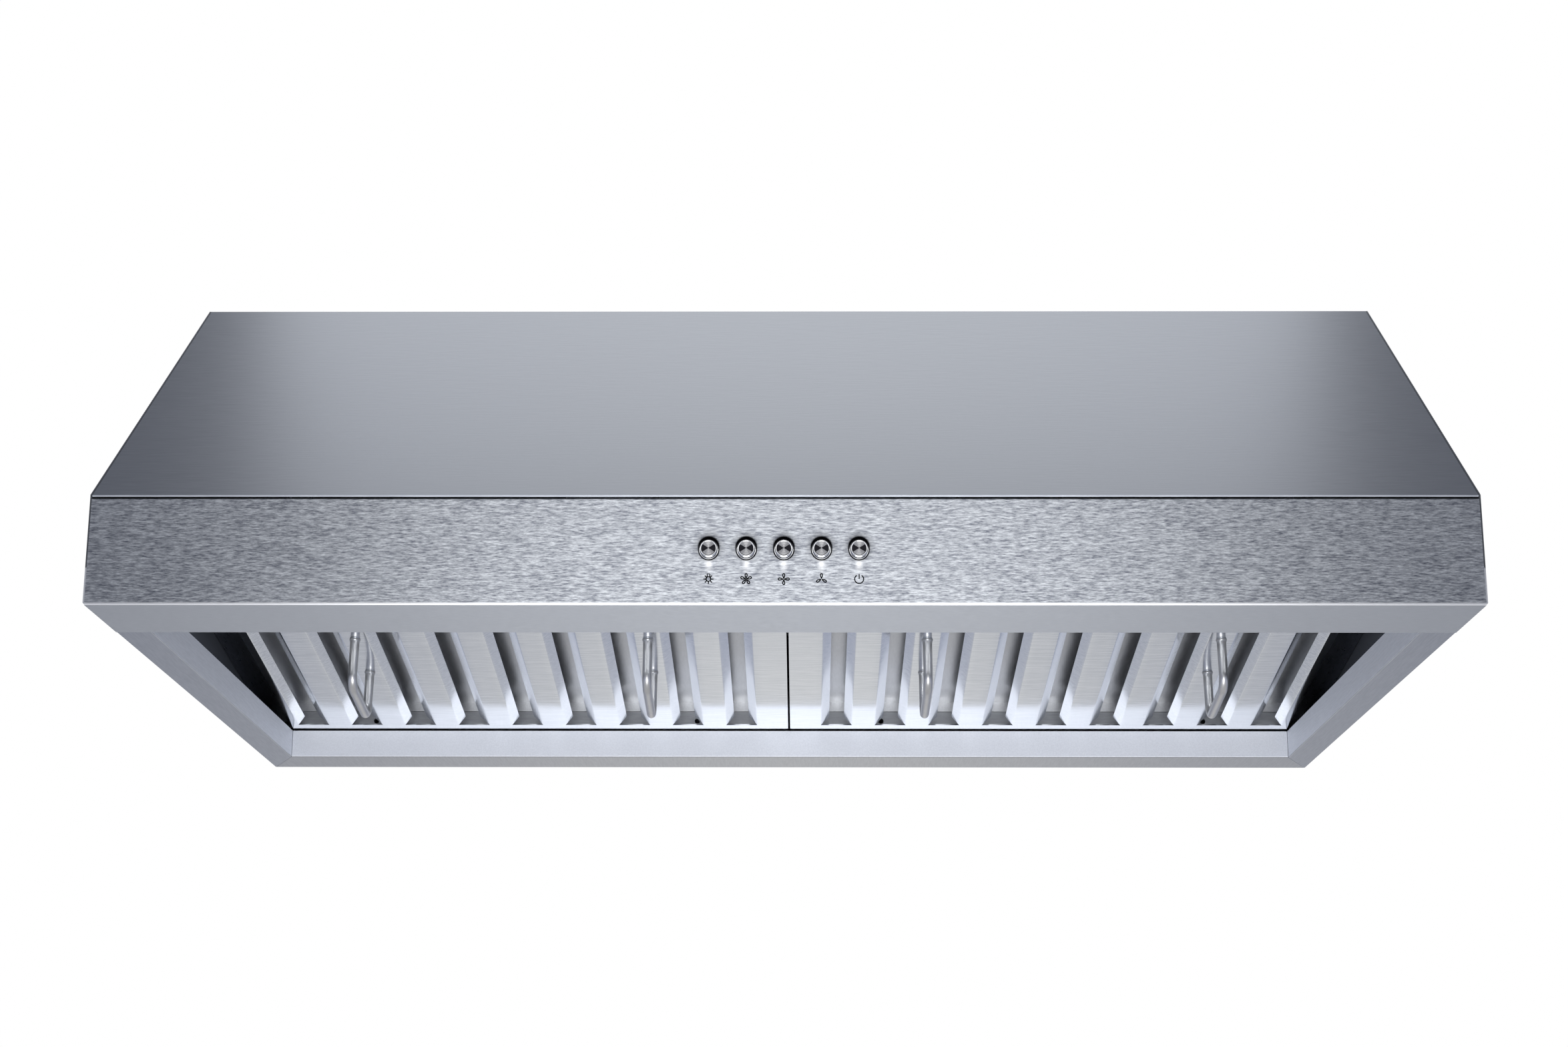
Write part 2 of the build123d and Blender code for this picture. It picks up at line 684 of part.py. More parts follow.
def motor_shell(front):
    """Half of the motor's casing, a cup with a bearing seat in its end."""
    half = MOTOR_LENGTH / 2
    near = MOTOR_X - half if front else MOTOR_X - MOTOR_LENGTH
    end = MOTOR_X - MOTOR_SHELL if front else MOTOR_X - MOTOR_LENGTH
    cup = ring((near, 0, 0), (1, 0, 0), MOTOR_R, MOTOR_R - MOTOR_SHELL, half)
    plate = ring((end, 0, 0), (1, 0, 0), MOTOR_R, BEARING_R, MOTOR_SHELL)
    seat_from = MOTOR_X - BEARING_LENGTH if front else MOTOR_X - MOTOR_LENGTH
    seat = ring((seat_from, 0, 0), (1, 0, 0), BEARING_R + 2, BEARING_R, BEARING_LENGTH)
    slot = Pos(end + MOTOR_SHELL / 2, 0, MOTOR_R - 14) * Box(3 * MOTOR_SHELL, 5, 12)
    vents = [Rot(turn, 0, 0) * slot for turn in range(0, 360, 45)]
    return about_wheel(cup + plate + seat - vents)


def motor_bearings():
    places = (MOTOR_X - BEARING_LENGTH, MOTOR_X - MOTOR_LENGTH)
    bore = SHAFT_R + RUNNING
    return [about_wheel(ring((x, 0, 0), (1, 0, 0), BEARING_R, bore, BEARING_LENGTH)) for x in places]


def motor_stator():
    """Laminated ring with six poles."""
    outer = MOTOR_R - MOTOR_SHELL
    core = ring((STACK_START, 0, 0), (1, 0, 0), outer, outer - 6, STACK_LENGTH)
    pole = Pos(STACK_START + STACK_LENGTH / 2, 0, MOTOR_R - 12) * Box(STACK_LENGTH, 8, 10)
    poles = [Rot(turn, 0, 0) * pole for turn in range(0, 360, 60)]
    bore = rod((STACK_START, 0, 0), (1, 0, 0), ROTOR_R + AIR_GAP, STACK_LENGTH)
    return about_wheel(core.fuse(*poles) - bore)


def motor_rotor():
    return about_wheel(ring((STACK_START, 0, 0), (1, 0, 0), ROTOR_R, SHAFT_R, STACK_LENGTH))


def motor_bracket():
    """Band round the motor with three arms that reach the left side plate."""
    band_x = MOTOR_X - 24
    band_out = MOTOR_R + MOTOR_BAND
    half_arm = 6.0
    band = ring((band_x, 0, 0), (1, 0, 0), band_out, MOTOR_R, 14)
    strap = block((band_x, FOOT_X), (-half_arm, half_arm), (band_out - 0.75, band_out + 0.75))
    riser = block((FOOT_X - MOTOR_BAND, FOOT_X), (-half_arm, half_arm), (band_out - 0.75, FOOT_R + 5.75))
    arm = strap + riser - drill((FOOT_X, 0, FOOT_R), (1, 0, 0), FOOT_SCREW_R)
    arms = [Rot(turn - 90, 0, 0) * arm for turn in BRACKET_TURNS]
    return about_wheel(band.fuse(*arms))


def motor_grommets():
    """Rubber bushes between the bracket's feet and the side plate."""
    bush = ring((FOOT_X, 0, FOOT_R), (1, 0, 0), 5.0, FOOT_SCREW_R, BUSH_LENGTH)
    return [about_wheel(bush, turn - 90) for turn in BRACKET_TURNS]


def motor_bolts():
    head = FOOT_X - MOTOR_BAND
    shank = rod((head, 0, FOOT_R), (1, 0, 0), FOOT_SCREW_R, MOTOR_BAND + BUSH_LENGTH)
    cap = rod((head - 3, 0, FOOT_R), (1, 0, 0), 2 * FOOT_SCREW_R, 3)
    return [about_wheel(shank + cap, turn - 90) for turn in BRACKET_TURNS]


def run_capacitor():
    """Film capacitor that stands on the right side plate's outside, with two tabs."""
    can = block((SCROLL_HALF + 12, SCROLL_HALF + 34), (296, 340), (200, 236))
    tabs = [block((SCROLL_HALF + 20, SCROLL_HALF + 26), (y, y + 1), (236, 243)) for y in (308, 326)]
    return fillet(can.edges().filter_by(Axis.X), 3).fuse(*tabs)


def capacitor_clip():
    """Bent strap that hangs the capacitor from the top sheet."""
    z = HEIGHT - SHEET
    points = [
        (SCROLL_HALF + 44, z),
        (SCROLL_HALF + 35, z),
        (SCROLL_HALF + 35, 199),
        (SCROLL_HALF + 11, 199),
        (SCROLL_HALF + 11, 215),
    ]
    return bent_along_y(points, 312, 324, side=Side.LEFT)


# ---- Electrical ----


def wiring_box():
    """Open-bottomed steel box under the top sheet's wiring hole."""
    top = HEIGHT - SHEET
    outer = box_block(0, (top - BOX_HEIGHT, top))
    inner = box_block(-SHEET, (top - BOX_HEIGHT - SHEET, top - SHEET))
    exit_hole = drill((WIRING_X - BOX_HALF_X, WIRING_Y, top - LEAD_DROP), (1, 0, 0), 2 * LEAD_R)
    return outer - inner - wiring_cutout() - exit_hole


def box_block(grow, z):
    """Block in the wiring box's plan, grown by a margin all round."""
    half_x = BOX_HALF_X + grow
    half_y = BOX_HALF_Y + grow
    return block((WIRING_X - half_x, WIRING_X + half_x), (WIRING_Y - half_y, WIRING_Y + half_y), z)


def wiring_box_cover():
    """Plate under the wiring box, with a lip up each end."""
    bottom = HEIGHT - SHEET - BOX_HEIGHT
    plate = box_block(0, (bottom - SHEET, bottom))
    along = (WIRING_Y - BOX_HALF_Y, WIRING_Y + BOX_HALF_Y)
    lips = []
    for s in (-1, 1):
        across = sorted((WIRING_X + s * BOX_HALF_X, WIRING_X + s * (BOX_HALF_X + SHEET)))
        lips.append(block(across, along, (bottom - SHEET, bottom + 8)))
    return plate.fuse(*lips)


def knockout_plate():
    """Cover over the wiring hole, with the round cable entry."""
    middle = Pos(WIRING_X, WIRING_Y, HEIGHT + KNOCKOUT_SHEET / 2)
    plate = middle * Box(KNOCKOUT_SIZE, KNOCKOUT_SIZE, KNOCKOUT_SHEET)
    plate = fillet(plate.edges().filter_by(Axis.Z), 4)
    return plate - drill((WIRING_X, WIRING_Y, HEIGHT), (0, 0, 1), WIRING_ENTRY_R)


def terminal_block():
    """Three-way block on the wiring box's rear wall."""
    z = (HEIGHT - SHEET - 50, HEIGHT - SHEET - 34)
    half = 20.0
    rear = WIRING_Y + BOX_HALF_Y - SHEET
    body = block((WIRING_X - half, WIRING_X + half), (rear - 18, rear), z)
    holes = [rod((WIRING_X + x, rear - 9, z[1] - 6), (0, 0, 1), 2.5, 10) for x in (-12, 0, 12)]
    return body - holes


def lamp_driver():
    """Driver case under the top sheet, in front of the blower's right side."""
    top = HEIGHT - SHEET
    body = block((120, 180), (256, 292), (top - 28, top))
    return fillet(body.edges().filter_by(Axis.Z), 2)


def cable_entry_bush():
    """Snap-in bush in the wiring box's side, where the internal leads enter."""
    x = WIRING_X - BOX_HALF_X
    z = HEIGHT - SHEET - LEAD_DROP
    bore = LEAD_R + 1.5
    neck = ring((x - 2, WIRING_Y, z), (1, 0, 0), 2 * LEAD_R, bore, 5)
    rim = ring((x - 4, WIRING_Y, z), (1, 0, 0), 2 * bore, bore, 3.8)
    return neck + rim


def internal_leads():
    """Loom from the switch bank up under the slope and along the top to the wiring box."""
    level = HEIGHT - SHEET - LEAD_DROP
    points = [
        (30, SWITCH_BACK, 36),
        (30, 40, 36),
        (110, 80, 84),
        (196, 230, 212),
        (196, 330, level),
        (150, 395, level),
        (165, WIRING_Y, level),
        (WIRING_X - BOX_HALF_X + 10, WIRING_Y, level),
    ]
    path = FilletPolyline(*points, radius=[8, 20, 25, 25, 25, 20])
    return sweep(Plane(points[0], z_dir=(0, 1, 0)) * Circle(LEAD_R), path=path)


# ---- Controls ----


def button_places():
    middle = (len(BUTTON_NAMES) - 1) / 2
    return [(i - middle) * BUTTON_PITCH for i in range(len(BUTTON_NAMES))]


def button(x):
    """Cap with a chamfered rim and the stem that enters the switch."""
    cap = rod((x, -CAP_PROUD, BUTTON_Z), (0, 1, 0), CAP_R, CAP_PROUD + CAP_BACK)
    cap = chamfer(cap.edges().sort_by(Axis.Y)[0], CHAMFER)
    stem = rod((x, CAP_BACK, BUTTON_Z), (0, 1, 0), STEM_R, STEM_END - CAP_BACK)
    return cap + stem


def button_bezels():
    """Chrome sleeves: a stepped rim outside the panel and a neck through it."""
    bezels = []
    for x in button_places():
        rim = ring((x, -BEZEL_PROUD, BUTTON_Z), (0, 1, 0), BEZEL_R, BEZEL_BORE_R, BEZEL_PROUD)
        front_edges = rim.edges().filter_by(GeomType.CIRCLE).group_by(Axis.Y)[0]
        rim = chamfer(front_edges.sort_by(SortBy.RADIUS)[-1], CHAMFER)
        neck = ring((x, 0, BUTTON_Z), (0, 1, 0), BEZEL_NECK_R, BEZEL_BORE_R, BEZEL_NECK)
        bezels.append(rim + neck)
    return bezels


def switch_block():
    """Switch bank behind the panel, with a bore for each stem and its spring."""
    half = bank_half() + 2
    body = block(
        (-half, half), (SWITCH_FRONT, SWITCH_BACK), (BUTTON_Z - SWITCH_HALF_Z, BUTTON_Z + SWITCH_HALF_Z)
    )
    front = SWITCH_FRONT - 1
    bores = [
        rod((x, front, BUTTON_Z), (0, 1, 0), STEM_R + 0.1, STEM_BORE_END - front)
        for x in button_places()
    ]
    tabs = [
        block((x - 2, x + 2), (SWITCH_BACK, SWITCH_BACK + 6), (BUTTON_Z - 4, BUTTON_Z - 3.2))
        for x in button_places()
    ]
    return (body - bores).fuse(*tabs)


def bank_half():
    return BUTTON_PITCH * len(BUTTON_NAMES) / 2


def switch_bracket():
    """Bent plate that carries the switch bank on the front panel's inner face."""
    half = bank_half() + 14
    back = SWITCH_FRONT - 0.3
    front = back - PLATE_SHEET
    bottom = BUTTON_Z - PLATE_HALF_Z
    tall = (bottom, BUTTON_Z + PLATE_HALF_Z)
    plate = block((-half, half), (front, back), tall)
    holes = [drill((x, front, BUTTON_Z), (0, 1, 0), CAP_R + 0.5) for x in button_places()]
    feet = [block(sorted((s * half, s * (half - 8))), (SHEET, front), tall) for s in (-1, 1)]
    shelf = block((-half, half), (back, SWITCH_FRONT + 4), (bottom, bottom + PLATE_SHEET))
    return plate.fuse(*feet, shelf) - holes


def button_springs():
    """Return spring behind each stem, drawn as its coil."""
    springs = []
    wire_r = 0.25
    start = STEM_END + 0.3
    length = STEM_BORE_END - STEM_END - 0.8
    for x in button_places():
        centre = (x, start, BUTTON_Z)
        helix = Helix(pitch=1.5, height=length, radius=1.9, center=centre, direction=(0, 1, 0))
        section = Plane(helix @ 0, z_dir=helix % 0) * Circle(wire_r)
        springs.append(sweep(section, path=helix, is_frenet=True))
    return springs


# ---- Fasteners ----


def shell_screws():
    """Headless screws, flush in the side walls' rear edge, into the corner brackets."""
    length = 6.0
    start = WIDTH / 2 - length
    right = [rod((start, SIDE_SCREW_Y, z), (1, 0, 0), SIDE_SCREW_R, length) for z in SIDE_SCREW_Z]
    return right + [mirror_x(screw) for screw in right]


def corner_brackets():
    """Angles that join each side wall to the back panel."""
    wall = WIDTH / 2 - SHEET
    back = DEPTH - SHEET
    play = 2 * SEAM
    points = [(wall, back - BRACKET_LEG), (wall, back - play), (wall - BRACKET_LEG, back - play)]
    low, high = BRACKET_Z
    outline = Plane.XY.offset(low) * Face(sheet_profile(points, side=Side.LEFT))
    angle = extrude(outline, high - low, dir=(0, 0, 1))
    holes = [drill((wall, SIDE_SCREW_Y, z), (1, 0, 0), SIDE_SCREW_R) for z in SIDE_SCREW_Z]
    right = angle - holes
    return [right, mirror_x(right)]


def collar_screws():
    """Pan-head screws through the collar's flange."""
    screws = []
    for x, y in collar_screw_places():
        shank = rod((x, y, HEIGHT), (0, 0, 1), COLLAR_SCREW_R, SHEET)
        head = rod((x, y, HEIGHT + SHEET), (0, 0, 1), 2 * COLLAR_SCREW_R, COLLAR_SCREW_R)
        screws.append(shank + head)
    return screws


# ---- Build ----

save("top_wrap", top_wrap())
save("front_panel", front_panel())
right_side = side_panel()
save("side_panel_right", right_side)
save("side_panel_left", mirror_x(right_side))
save("back_panel", back_panel())
save("rear_duct_cover", rear_duct_cover())
save("corner_brackets", *corner_brackets())
right_rail = filter_rail()
save("filter_rail_right", right_rail)
save("filter_rail_left", mirror_x(right_rail))
save("lamp_panel", lamp_panel())
save("filter_catches", *filter_catches())

face = filter_face()
frame = filter_frame()
baffles = filter_upper_baffles()
handles = filter_handles()
for side, word in ((-1, "left"), (1, "right")):
    save(f"filter_face_{word}", placed_filter(face, side))
    save(f"filter_frame_{word}", placed_filter(frame, side))
    save(f"filter_baffles_{word}", *[placed_filter(b, side) for b in baffles])
    save(f"filter_handles_{word}", *[placed_filter(h, side) for h in handles])

lamps = zip(*[lamp_parts(x) for x in (-LAMP_X, LAMP_X)])
for name, pieces in zip(("lamp_bezels", "lamp_lenses", "lamp_housings", "lamp_boards"), lamps):
    save(name, *pieces)
save("lamp_clips", *lamp_clips())

save("duct_collar", duct_collar())
save("damper_pin", damper_pin())
save("damper_flap_rear", damper_flap(1))
save("damper_flap_front", damper_flap(-1))

save("blower_scroll", blower_scroll())
right_plate = blower_side()
save("blower_side_right", right_plate)
save("blower_side_left", mirror_x(right_plate))
right_inlet = inlet_ring()
save("inlet_rings", right_inlet, mirror_x(right_inlet))
save("impeller", impeller())
save("impeller_hub", impeller_hub())
save("motor_shaft", motor_shaft())
save("motor_casing_front", motor_shell(True))
save("motor_casing_rear", motor_shell(False))
save("motor_bearings", *motor_bearings())
save("motor_stator", motor_stator())
save("motor_rotor", motor_rotor())
save("motor_bracket", motor_bracket())
save("rubber_bushes", *motor_grommets(), cable_entry_bush())
save("run_capacitor", run_capacitor())
save("capacitor_clip", capacitor_clip())

save("wiring_box", wiring_box())
save("wiring_box_cover", wiring_box_cover())
save("knockout_plate", knockout_plate())
save("terminal_block", terminal_block())
save("lamp_driver", lamp_driver())
save("internal_leads", internal_leads())

for name, x in zip(BUTTON_NAMES, button_places()):
    save(f"button_{name}", button(x))
save("button_bezels", *button_bezels())
save("switch_block", switch_block())
save("switch_bracket", switch_bracket())
save("button_springs", *button_springs())
save("screws", *shell_screws(), *collar_screws(), *motor_bolts())
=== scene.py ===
import json
import math
import bpy
import bmesh
import numpy as np
from mathutils import Matrix, Vector


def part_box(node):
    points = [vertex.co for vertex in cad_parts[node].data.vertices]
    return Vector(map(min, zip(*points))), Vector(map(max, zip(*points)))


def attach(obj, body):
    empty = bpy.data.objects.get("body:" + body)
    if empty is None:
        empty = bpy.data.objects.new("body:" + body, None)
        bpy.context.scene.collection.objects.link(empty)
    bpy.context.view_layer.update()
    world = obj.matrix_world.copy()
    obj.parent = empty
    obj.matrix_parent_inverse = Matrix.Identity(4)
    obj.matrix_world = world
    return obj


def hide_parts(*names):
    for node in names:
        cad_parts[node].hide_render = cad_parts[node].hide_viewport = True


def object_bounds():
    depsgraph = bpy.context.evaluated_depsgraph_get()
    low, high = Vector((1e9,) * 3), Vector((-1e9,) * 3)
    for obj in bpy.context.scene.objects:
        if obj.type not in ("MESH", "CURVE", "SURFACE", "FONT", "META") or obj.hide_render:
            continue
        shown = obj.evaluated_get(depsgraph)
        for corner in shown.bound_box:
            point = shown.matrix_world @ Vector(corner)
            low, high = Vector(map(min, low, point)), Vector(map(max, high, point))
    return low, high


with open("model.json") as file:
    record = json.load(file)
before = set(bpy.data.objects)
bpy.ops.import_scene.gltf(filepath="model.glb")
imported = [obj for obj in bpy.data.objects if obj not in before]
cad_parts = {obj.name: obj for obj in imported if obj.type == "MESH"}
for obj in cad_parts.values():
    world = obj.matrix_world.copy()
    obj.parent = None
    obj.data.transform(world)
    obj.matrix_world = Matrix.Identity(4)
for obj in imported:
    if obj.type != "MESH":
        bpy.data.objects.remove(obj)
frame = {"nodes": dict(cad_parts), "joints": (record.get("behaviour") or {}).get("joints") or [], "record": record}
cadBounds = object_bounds()
nodes = frame["nodes"]
print("frame loaded:", len(nodes), "nodes")

mm = 0.001

# the hood's front bottom edge
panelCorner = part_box("front_panel")[0]
frontY, bottomZ = panelCorner.y, panelCorner.z

# the row of buttons, its middle one on the hood's middle plane
middleLow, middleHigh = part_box("button_fan_medium")
besideLow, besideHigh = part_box("button_fan_low")
buttonPitch = abs(besideLow.x + besideHigh.x - middleLow.x - middleHigh.x) / 2
buttonHeight = (middleLow.z + middleHigh.z) / 2
print("button pitch %.1f mm" % (buttonPitch / mm))


def tidyMesh(obj, mergeDistance=1e-6):
    # doubles merged, then faces turned outwards
    bm = bmesh.new()
    bm.from_mesh(obj.data)
    bmesh.ops.remove_doubles(bm, verts=bm.verts, dist=mergeDistance)
    bmesh.ops.recalc_face_normals(bm, faces=bm.faces)
    bm.to_mesh(obj.data)
    bm.free()
    return obj


def closeHoles(obj):
    # open rims capped, then faces turned outwards
    bm = bmesh.new()
    bm.from_mesh(obj.data)
    bmesh.ops.holes_fill(bm, edges=[e for e in bm.edges if e.is_boundary])
    bmesh.ops.recalc_face_normals(bm, faces=bm.faces)
    bm.to_mesh(obj.data)
    bm.free()
    return obj


def faceValues(obj, name, width):
    # one property of all faces, as an array of so many columns
    polygons = obj.data.polygons
    values = np.empty(len(polygons) * width, np.float32)
    polygons.foreach_get(name, values)
    return values.reshape(-1, width)


def lookAgainst(obj, axis):
    # an open sheet flipped when its normals, summed by area, point the positive way along the axis
    if (faceValues(obj, "normal", 3)[:, axis] * faceValues(obj, "area", 1)[:, 0]).sum() > 0:
        obj.data.flip_normals()


def gridFaces(rows, cols, wrapRows=False, wrapCols=False):
    # quads between neighbouring rows and columns, as one index array
    r = np.arange(rows if wrapRows else rows - 1)
    c = np.arange(cols if wrapCols else cols - 1)
    rr, cc = np.meshgrid(r, c, indexing="ij")
    nextR, nextC = (rr + 1) % rows, (cc + 1) % cols
    quads = np.stack([rr * cols + cc, nextR * cols + cc,
                      nextR * cols + nextC, rr * cols + nextC], -1)
    return quads.reshape(-1, 4)


def meshObject(name, points, faces, uv=None, smooth=True):
    # a new mesh written in whole arrays; uv is one pair for each point
    mesh = bpy.data.meshes.new(name)
    points = np.asarray(points, np.float32).reshape(-1, 3)
    faces = np.asarray(faces, np.int32)
    mesh.vertices.add(len(points))
    mesh.vertices.foreach_set("co", points.ravel())
    mesh.loops.add(faces.size)
    mesh.loops.foreach_set("vertex_index", faces.ravel())
    mesh.polygons.add(len(faces))
    starts = np.arange(0, faces.size, faces.shape[1], dtype=np.int32)
    mesh.polygons.foreach_set("loop_start", starts)
    mesh.update(calc_edges=True)
    if uv is not None:
        layer = mesh.uv_layers.new(name="turning")
        layer.data.foreach_set("uv", np.asarray(uv, np.float32)[faces.ravel()].ravel())
    mesh.polygons.foreach_set("use_smooth", np.full(len(faces), smooth))
    mesh.validate()
    obj = bpy.data.objects.new(name, mesh)
    bpy.context.scene.collection.objects.link(obj)
    return obj


def placePiece(obj, body, material, replaced=()):
    # one material, the body it moves with, its slot and the CAD nodes it stands for
    obj.data.materials.clear()
    obj.data.materials.append(material)
    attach(obj, body)
    if replaced:
        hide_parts(*replaced)
    return obj


def addWall(obj, thickness):
    # an open sheet given its thickness behind the seen side, and that written into the mesh
    wall = obj.modifiers.new("wall", "SOLIDIFY")
    wall.thickness = thickness
    wall.offset = -1.0
    deps = bpy.context.evaluated_depsgraph_get()
    mesh = bpy.data.meshes.new_from_object(obj.evaluated_get(deps))
    obj.modifiers.clear()
    obj.data = mesh
    return obj


def newMaterial(name):
    # a material with its node tree and shader at hand
    mat = bpy.data.materials.new(name)
    mat.use_nodes = True
    tree = mat.node_tree
    shader = tree.nodes["Principled BSDF"]
    return mat, tree, shader


def noiseOver(tree, vector, scale, detail=2.0, roughness=0.5):
    # noise over a vector, each axis scaled on its own: a small number is a long grain
    mapping = tree.nodes.new("ShaderNodeMapping")
    mapping.inputs["Scale"].default_value = scale
    tree.links.new(vector, mapping.inputs["Vector"])
    noise = tree.nodes.new("ShaderNodeTexNoise")
    noise.inputs["Scale"].default_value = 1.0
    noise.inputs["Detail"].default_value = detail
    noise.inputs["Roughness"].default_value = roughness
    tree.links.new(mapping.outputs["Vector"], noise.inputs["Vector"])
    return noise.outputs["Fac"]


def stretchedNoise(tree, scale, detail=3.0, roughness=0.6):
    # the same over Object coordinates, so the grain stays on the piece
    coords = tree.nodes.new("ShaderNodeTexCoord")
    return noiseOver(tree, coords.outputs["Object"], scale, detail, roughness)


def axes(tree, vector):
    # a vector's X, Y and Z
    node = tree.nodes.new("ShaderNodeSeparateXYZ")
    tree.links.new(vector, node.inputs["Vector"])
    return node.outputs


def placeAxes(tree):
    # where on the piece, in metres from the frame's origin
    return axes(tree, tree.nodes.new("ShaderNodeTexCoord").outputs["Object"])


def normalAxes(tree):
    # which way the surface faces
    return axes(tree, tree.nodes.new("ShaderNodeNewGeometry").outputs["Normal"])


def spread(tree, value, low, high, start=0.3, end=0.7):
    # value from start..end drawn out to low..high
    node = tree.nodes.new("ShaderNodeMapRange")
    node.inputs["From Min"].default_value = start
    node.inputs["From Max"].default_value = end
    node.inputs["To Min"].default_value = low
    node.inputs["To Max"].default_value = high
    tree.links.new(value, node.inputs["Value"])
    return node.outputs["Result"]


def twoTone(tree, value, dark, light, start=0.35, end=0.65):
    # dark below start, light above end, a straight blend between
    ramp = tree.nodes.new("ShaderNodeValToRGB")
    ramp.color_ramp.elements[0].position = start
    ramp.color_ramp.elements[0].color = (*dark, 1)
    ramp.color_ramp.elements[1].position = end
    ramp.color_ramp.elements[1].color = (*light, 1)
    tree.links.new(value, ramp.inputs["Fac"])
    return ramp.outputs["Color"]


def mixColour(tree, factor, first, second):
    # colour between first and second, or first times second when no factor is given
    node = tree.nodes.new("ShaderNodeMix")
    node.data_type = "RGBA"
    if factor is None:
        node.blend_type = "MULTIPLY"
        node.inputs["Factor"].default_value = 1.0
    else:
        tree.links.new(factor, node.inputs["Factor"])
    for name, colour in (("A", first), ("B", second)):
        socket = next(i for i in node.inputs if i.name == name and i.type == "RGBA")
        if isinstance(colour, tuple):
            socket.default_value = (*colour, 1)
        else:
            tree.links.new(colour, socket)
    return next(o for o in node.outputs if o.type == "RGBA")


def reckon(tree, operation, *values):
    # one Math node: a number is set on it, anything else is linked to it
    node = tree.nodes.new("ShaderNodeMath")
    node.operation = operation
    for socket, value in zip(node.inputs, values):
        if isinstance(value, (int, float)):
            socket.default_value = value
        else:
            tree.links.new(value, socket)
    return node.outputs[0]


def product(tree, first, second):
    # first times second, used to join two masks
    return reckon(tree, "MULTIPLY", first, second)


def addBump(tree, shader, value, strength, distance):
    # surface relief from the value; distance in metres
    bump = tree.nodes.new("ShaderNodeBump")
    bump.inputs["Strength"].default_value = strength
    bump.inputs["Distance"].default_value = distance
    tree.links.new(value, bump.inputs["Height"])
    tree.links.new(bump.outputs["Normal"], shader.inputs["Normal"])


def metalMaterial(name, dark, light, grain, rough, bump=0.0, depth=0.00002, cloud=None,
                  cloudReach=(0.85, 1.15)):
    # metal whose colour and roughness follow a stretched grain, with broad clouding if asked
    mat, tree, shader = newMaterial(name)
    shader.inputs["Metallic"].default_value = 1.0
    fine = stretchedNoise(tree, grain)
    tree.links.new(twoTone(tree, fine, dark, light), shader.inputs["Base Color"])
    roughness = spread(tree, fine, *rough)
    if cloud:
        broad = stretchedNoise(tree, cloud, detail=2.0)
        roughness = product(tree, roughness, spread(tree, broad, *cloudReach))
    tree.links.new(roughness, shader.inputs["Roughness"])
    if bump:
        addBump(tree, shader, fine, bump, depth)
    return mat


metalFinish = {
    # two tones, grain per metre along each axis, roughness from and to, bump strength and its depth
    # in metres
    "slopeSteel": {"dark": (0.53, 0.565, 0.63), "light": (0.60, 0.635, 0.70),
                   "grain": (60, 1100, 1100), "rough": (0.31, 0.37), "bump": 0.12},
    "flangeSteel": {"dark": (0.53, 0.565, 0.63), "light": (0.60, 0.635, 0.70),
                    "grain": (900, 60, 900), "rough": (0.30, 0.38), "bump": 0.10},
    # painted shade: the filter frames are toned darker than the filter steel, where they lie in shadow
    "frameShadeSteel": {"dark": (0.30, 0.31, 0.33), "light": (0.36, 0.37, 0.39),
                   "grain": (90, 500, 500), "rough": (0.34, 0.42), "bump": 0.03, "depth": 0.00001},
    "filterSteel": {"dark": (0.64, 0.665, 0.70), "light": (0.74, 0.76, 0.79),
                    "grain": (45, 700, 700), "rough": (0.11, 0.18), "bump": 0.05,
                    "cloud": (5, 16, 16)},
    "baffleSteel": {"dark": (0.54, 0.55, 0.57), "light": (0.60, 0.61, 0.63),
                    "grain": (700, 40, 700), "rough": (0.31, 0.37)},
    # painted shade: the rails are coloured near-black where they lie in shadow
    "railShadeSteel": {"dark": (0.10, 0.11, 0.13), "light": (0.15, 0.16, 0.19),
                  "grain": (700, 40, 700), "rough": (0.26, 0.36), "bump": 0.05},
    "handleSteel": {"dark": (0.56, 0.56, 0.56), "light": (0.62, 0.62, 0.62),
                    "grain": (500, 120, 120), "rough": (0.33, 0.39), "bump": 0.03,
                    "depth": 0.00001},
    "chromeSteel": {"dark": (0.80, 0.81, 0.83), "light": (0.86, 0.87, 0.89),
                    "grain": (400, 400, 400), "rough": (0.05, 0.10)},
    "zincSheet": {"dark": (0.46, 0.48, 0.49), "light": (0.62, 0.64, 0.65),
                  "grain": (90, 90, 90), "rough": (0.30, 0.48), "bump": 0.05, "depth": 0.00003,
                  "cloud": (30, 30, 30)},
    "castAluminium": {"dark": (0.55, 0.56, 0.57), "light": (0.70, 0.71, 0.72),
                      "grain": (500, 500, 500), "rough": (0.35, 0.50), "bump": 0.15,
                      "depth": 0.00004},
    "motorIron": {"dark": (0.10, 0.10, 0.11), "light": (0.18, 0.18, 0.19),
                  "grain": (1200, 80, 80), "rough": (0.45, 0.60)},
    "springSteel": {"dark": (0.52, 0.53, 0.55), "light": (0.66, 0.67, 0.68),
                    "grain": (500, 500, 500), "rough": (0.20, 0.32)},
}
finish = {name: metalMaterial(name, **values) for name, values in metalFinish.items()}


def plainMaterial(name, dark, light, rough, size=600.0, bump=0.1, depth=0.00003, specular=None):
    # moulded plastic, rubber or paint: fine speckle in colour, roughness and surface
    mat, tree, shader = newMaterial(name)
    fine = stretchedNoise(tree, (size, size, size))
    tree.links.new(twoTone(tree, fine, dark, light), shader.inputs["Base Color"])
    tree.links.new(spread(tree, fine, *rough), shader.inputs["Roughness"])
    if specular is not None:
        shader.inputs["Specular IOR Level"].default_value = specular
    addBump(tree, shader, fine, bump, depth)
    return mat


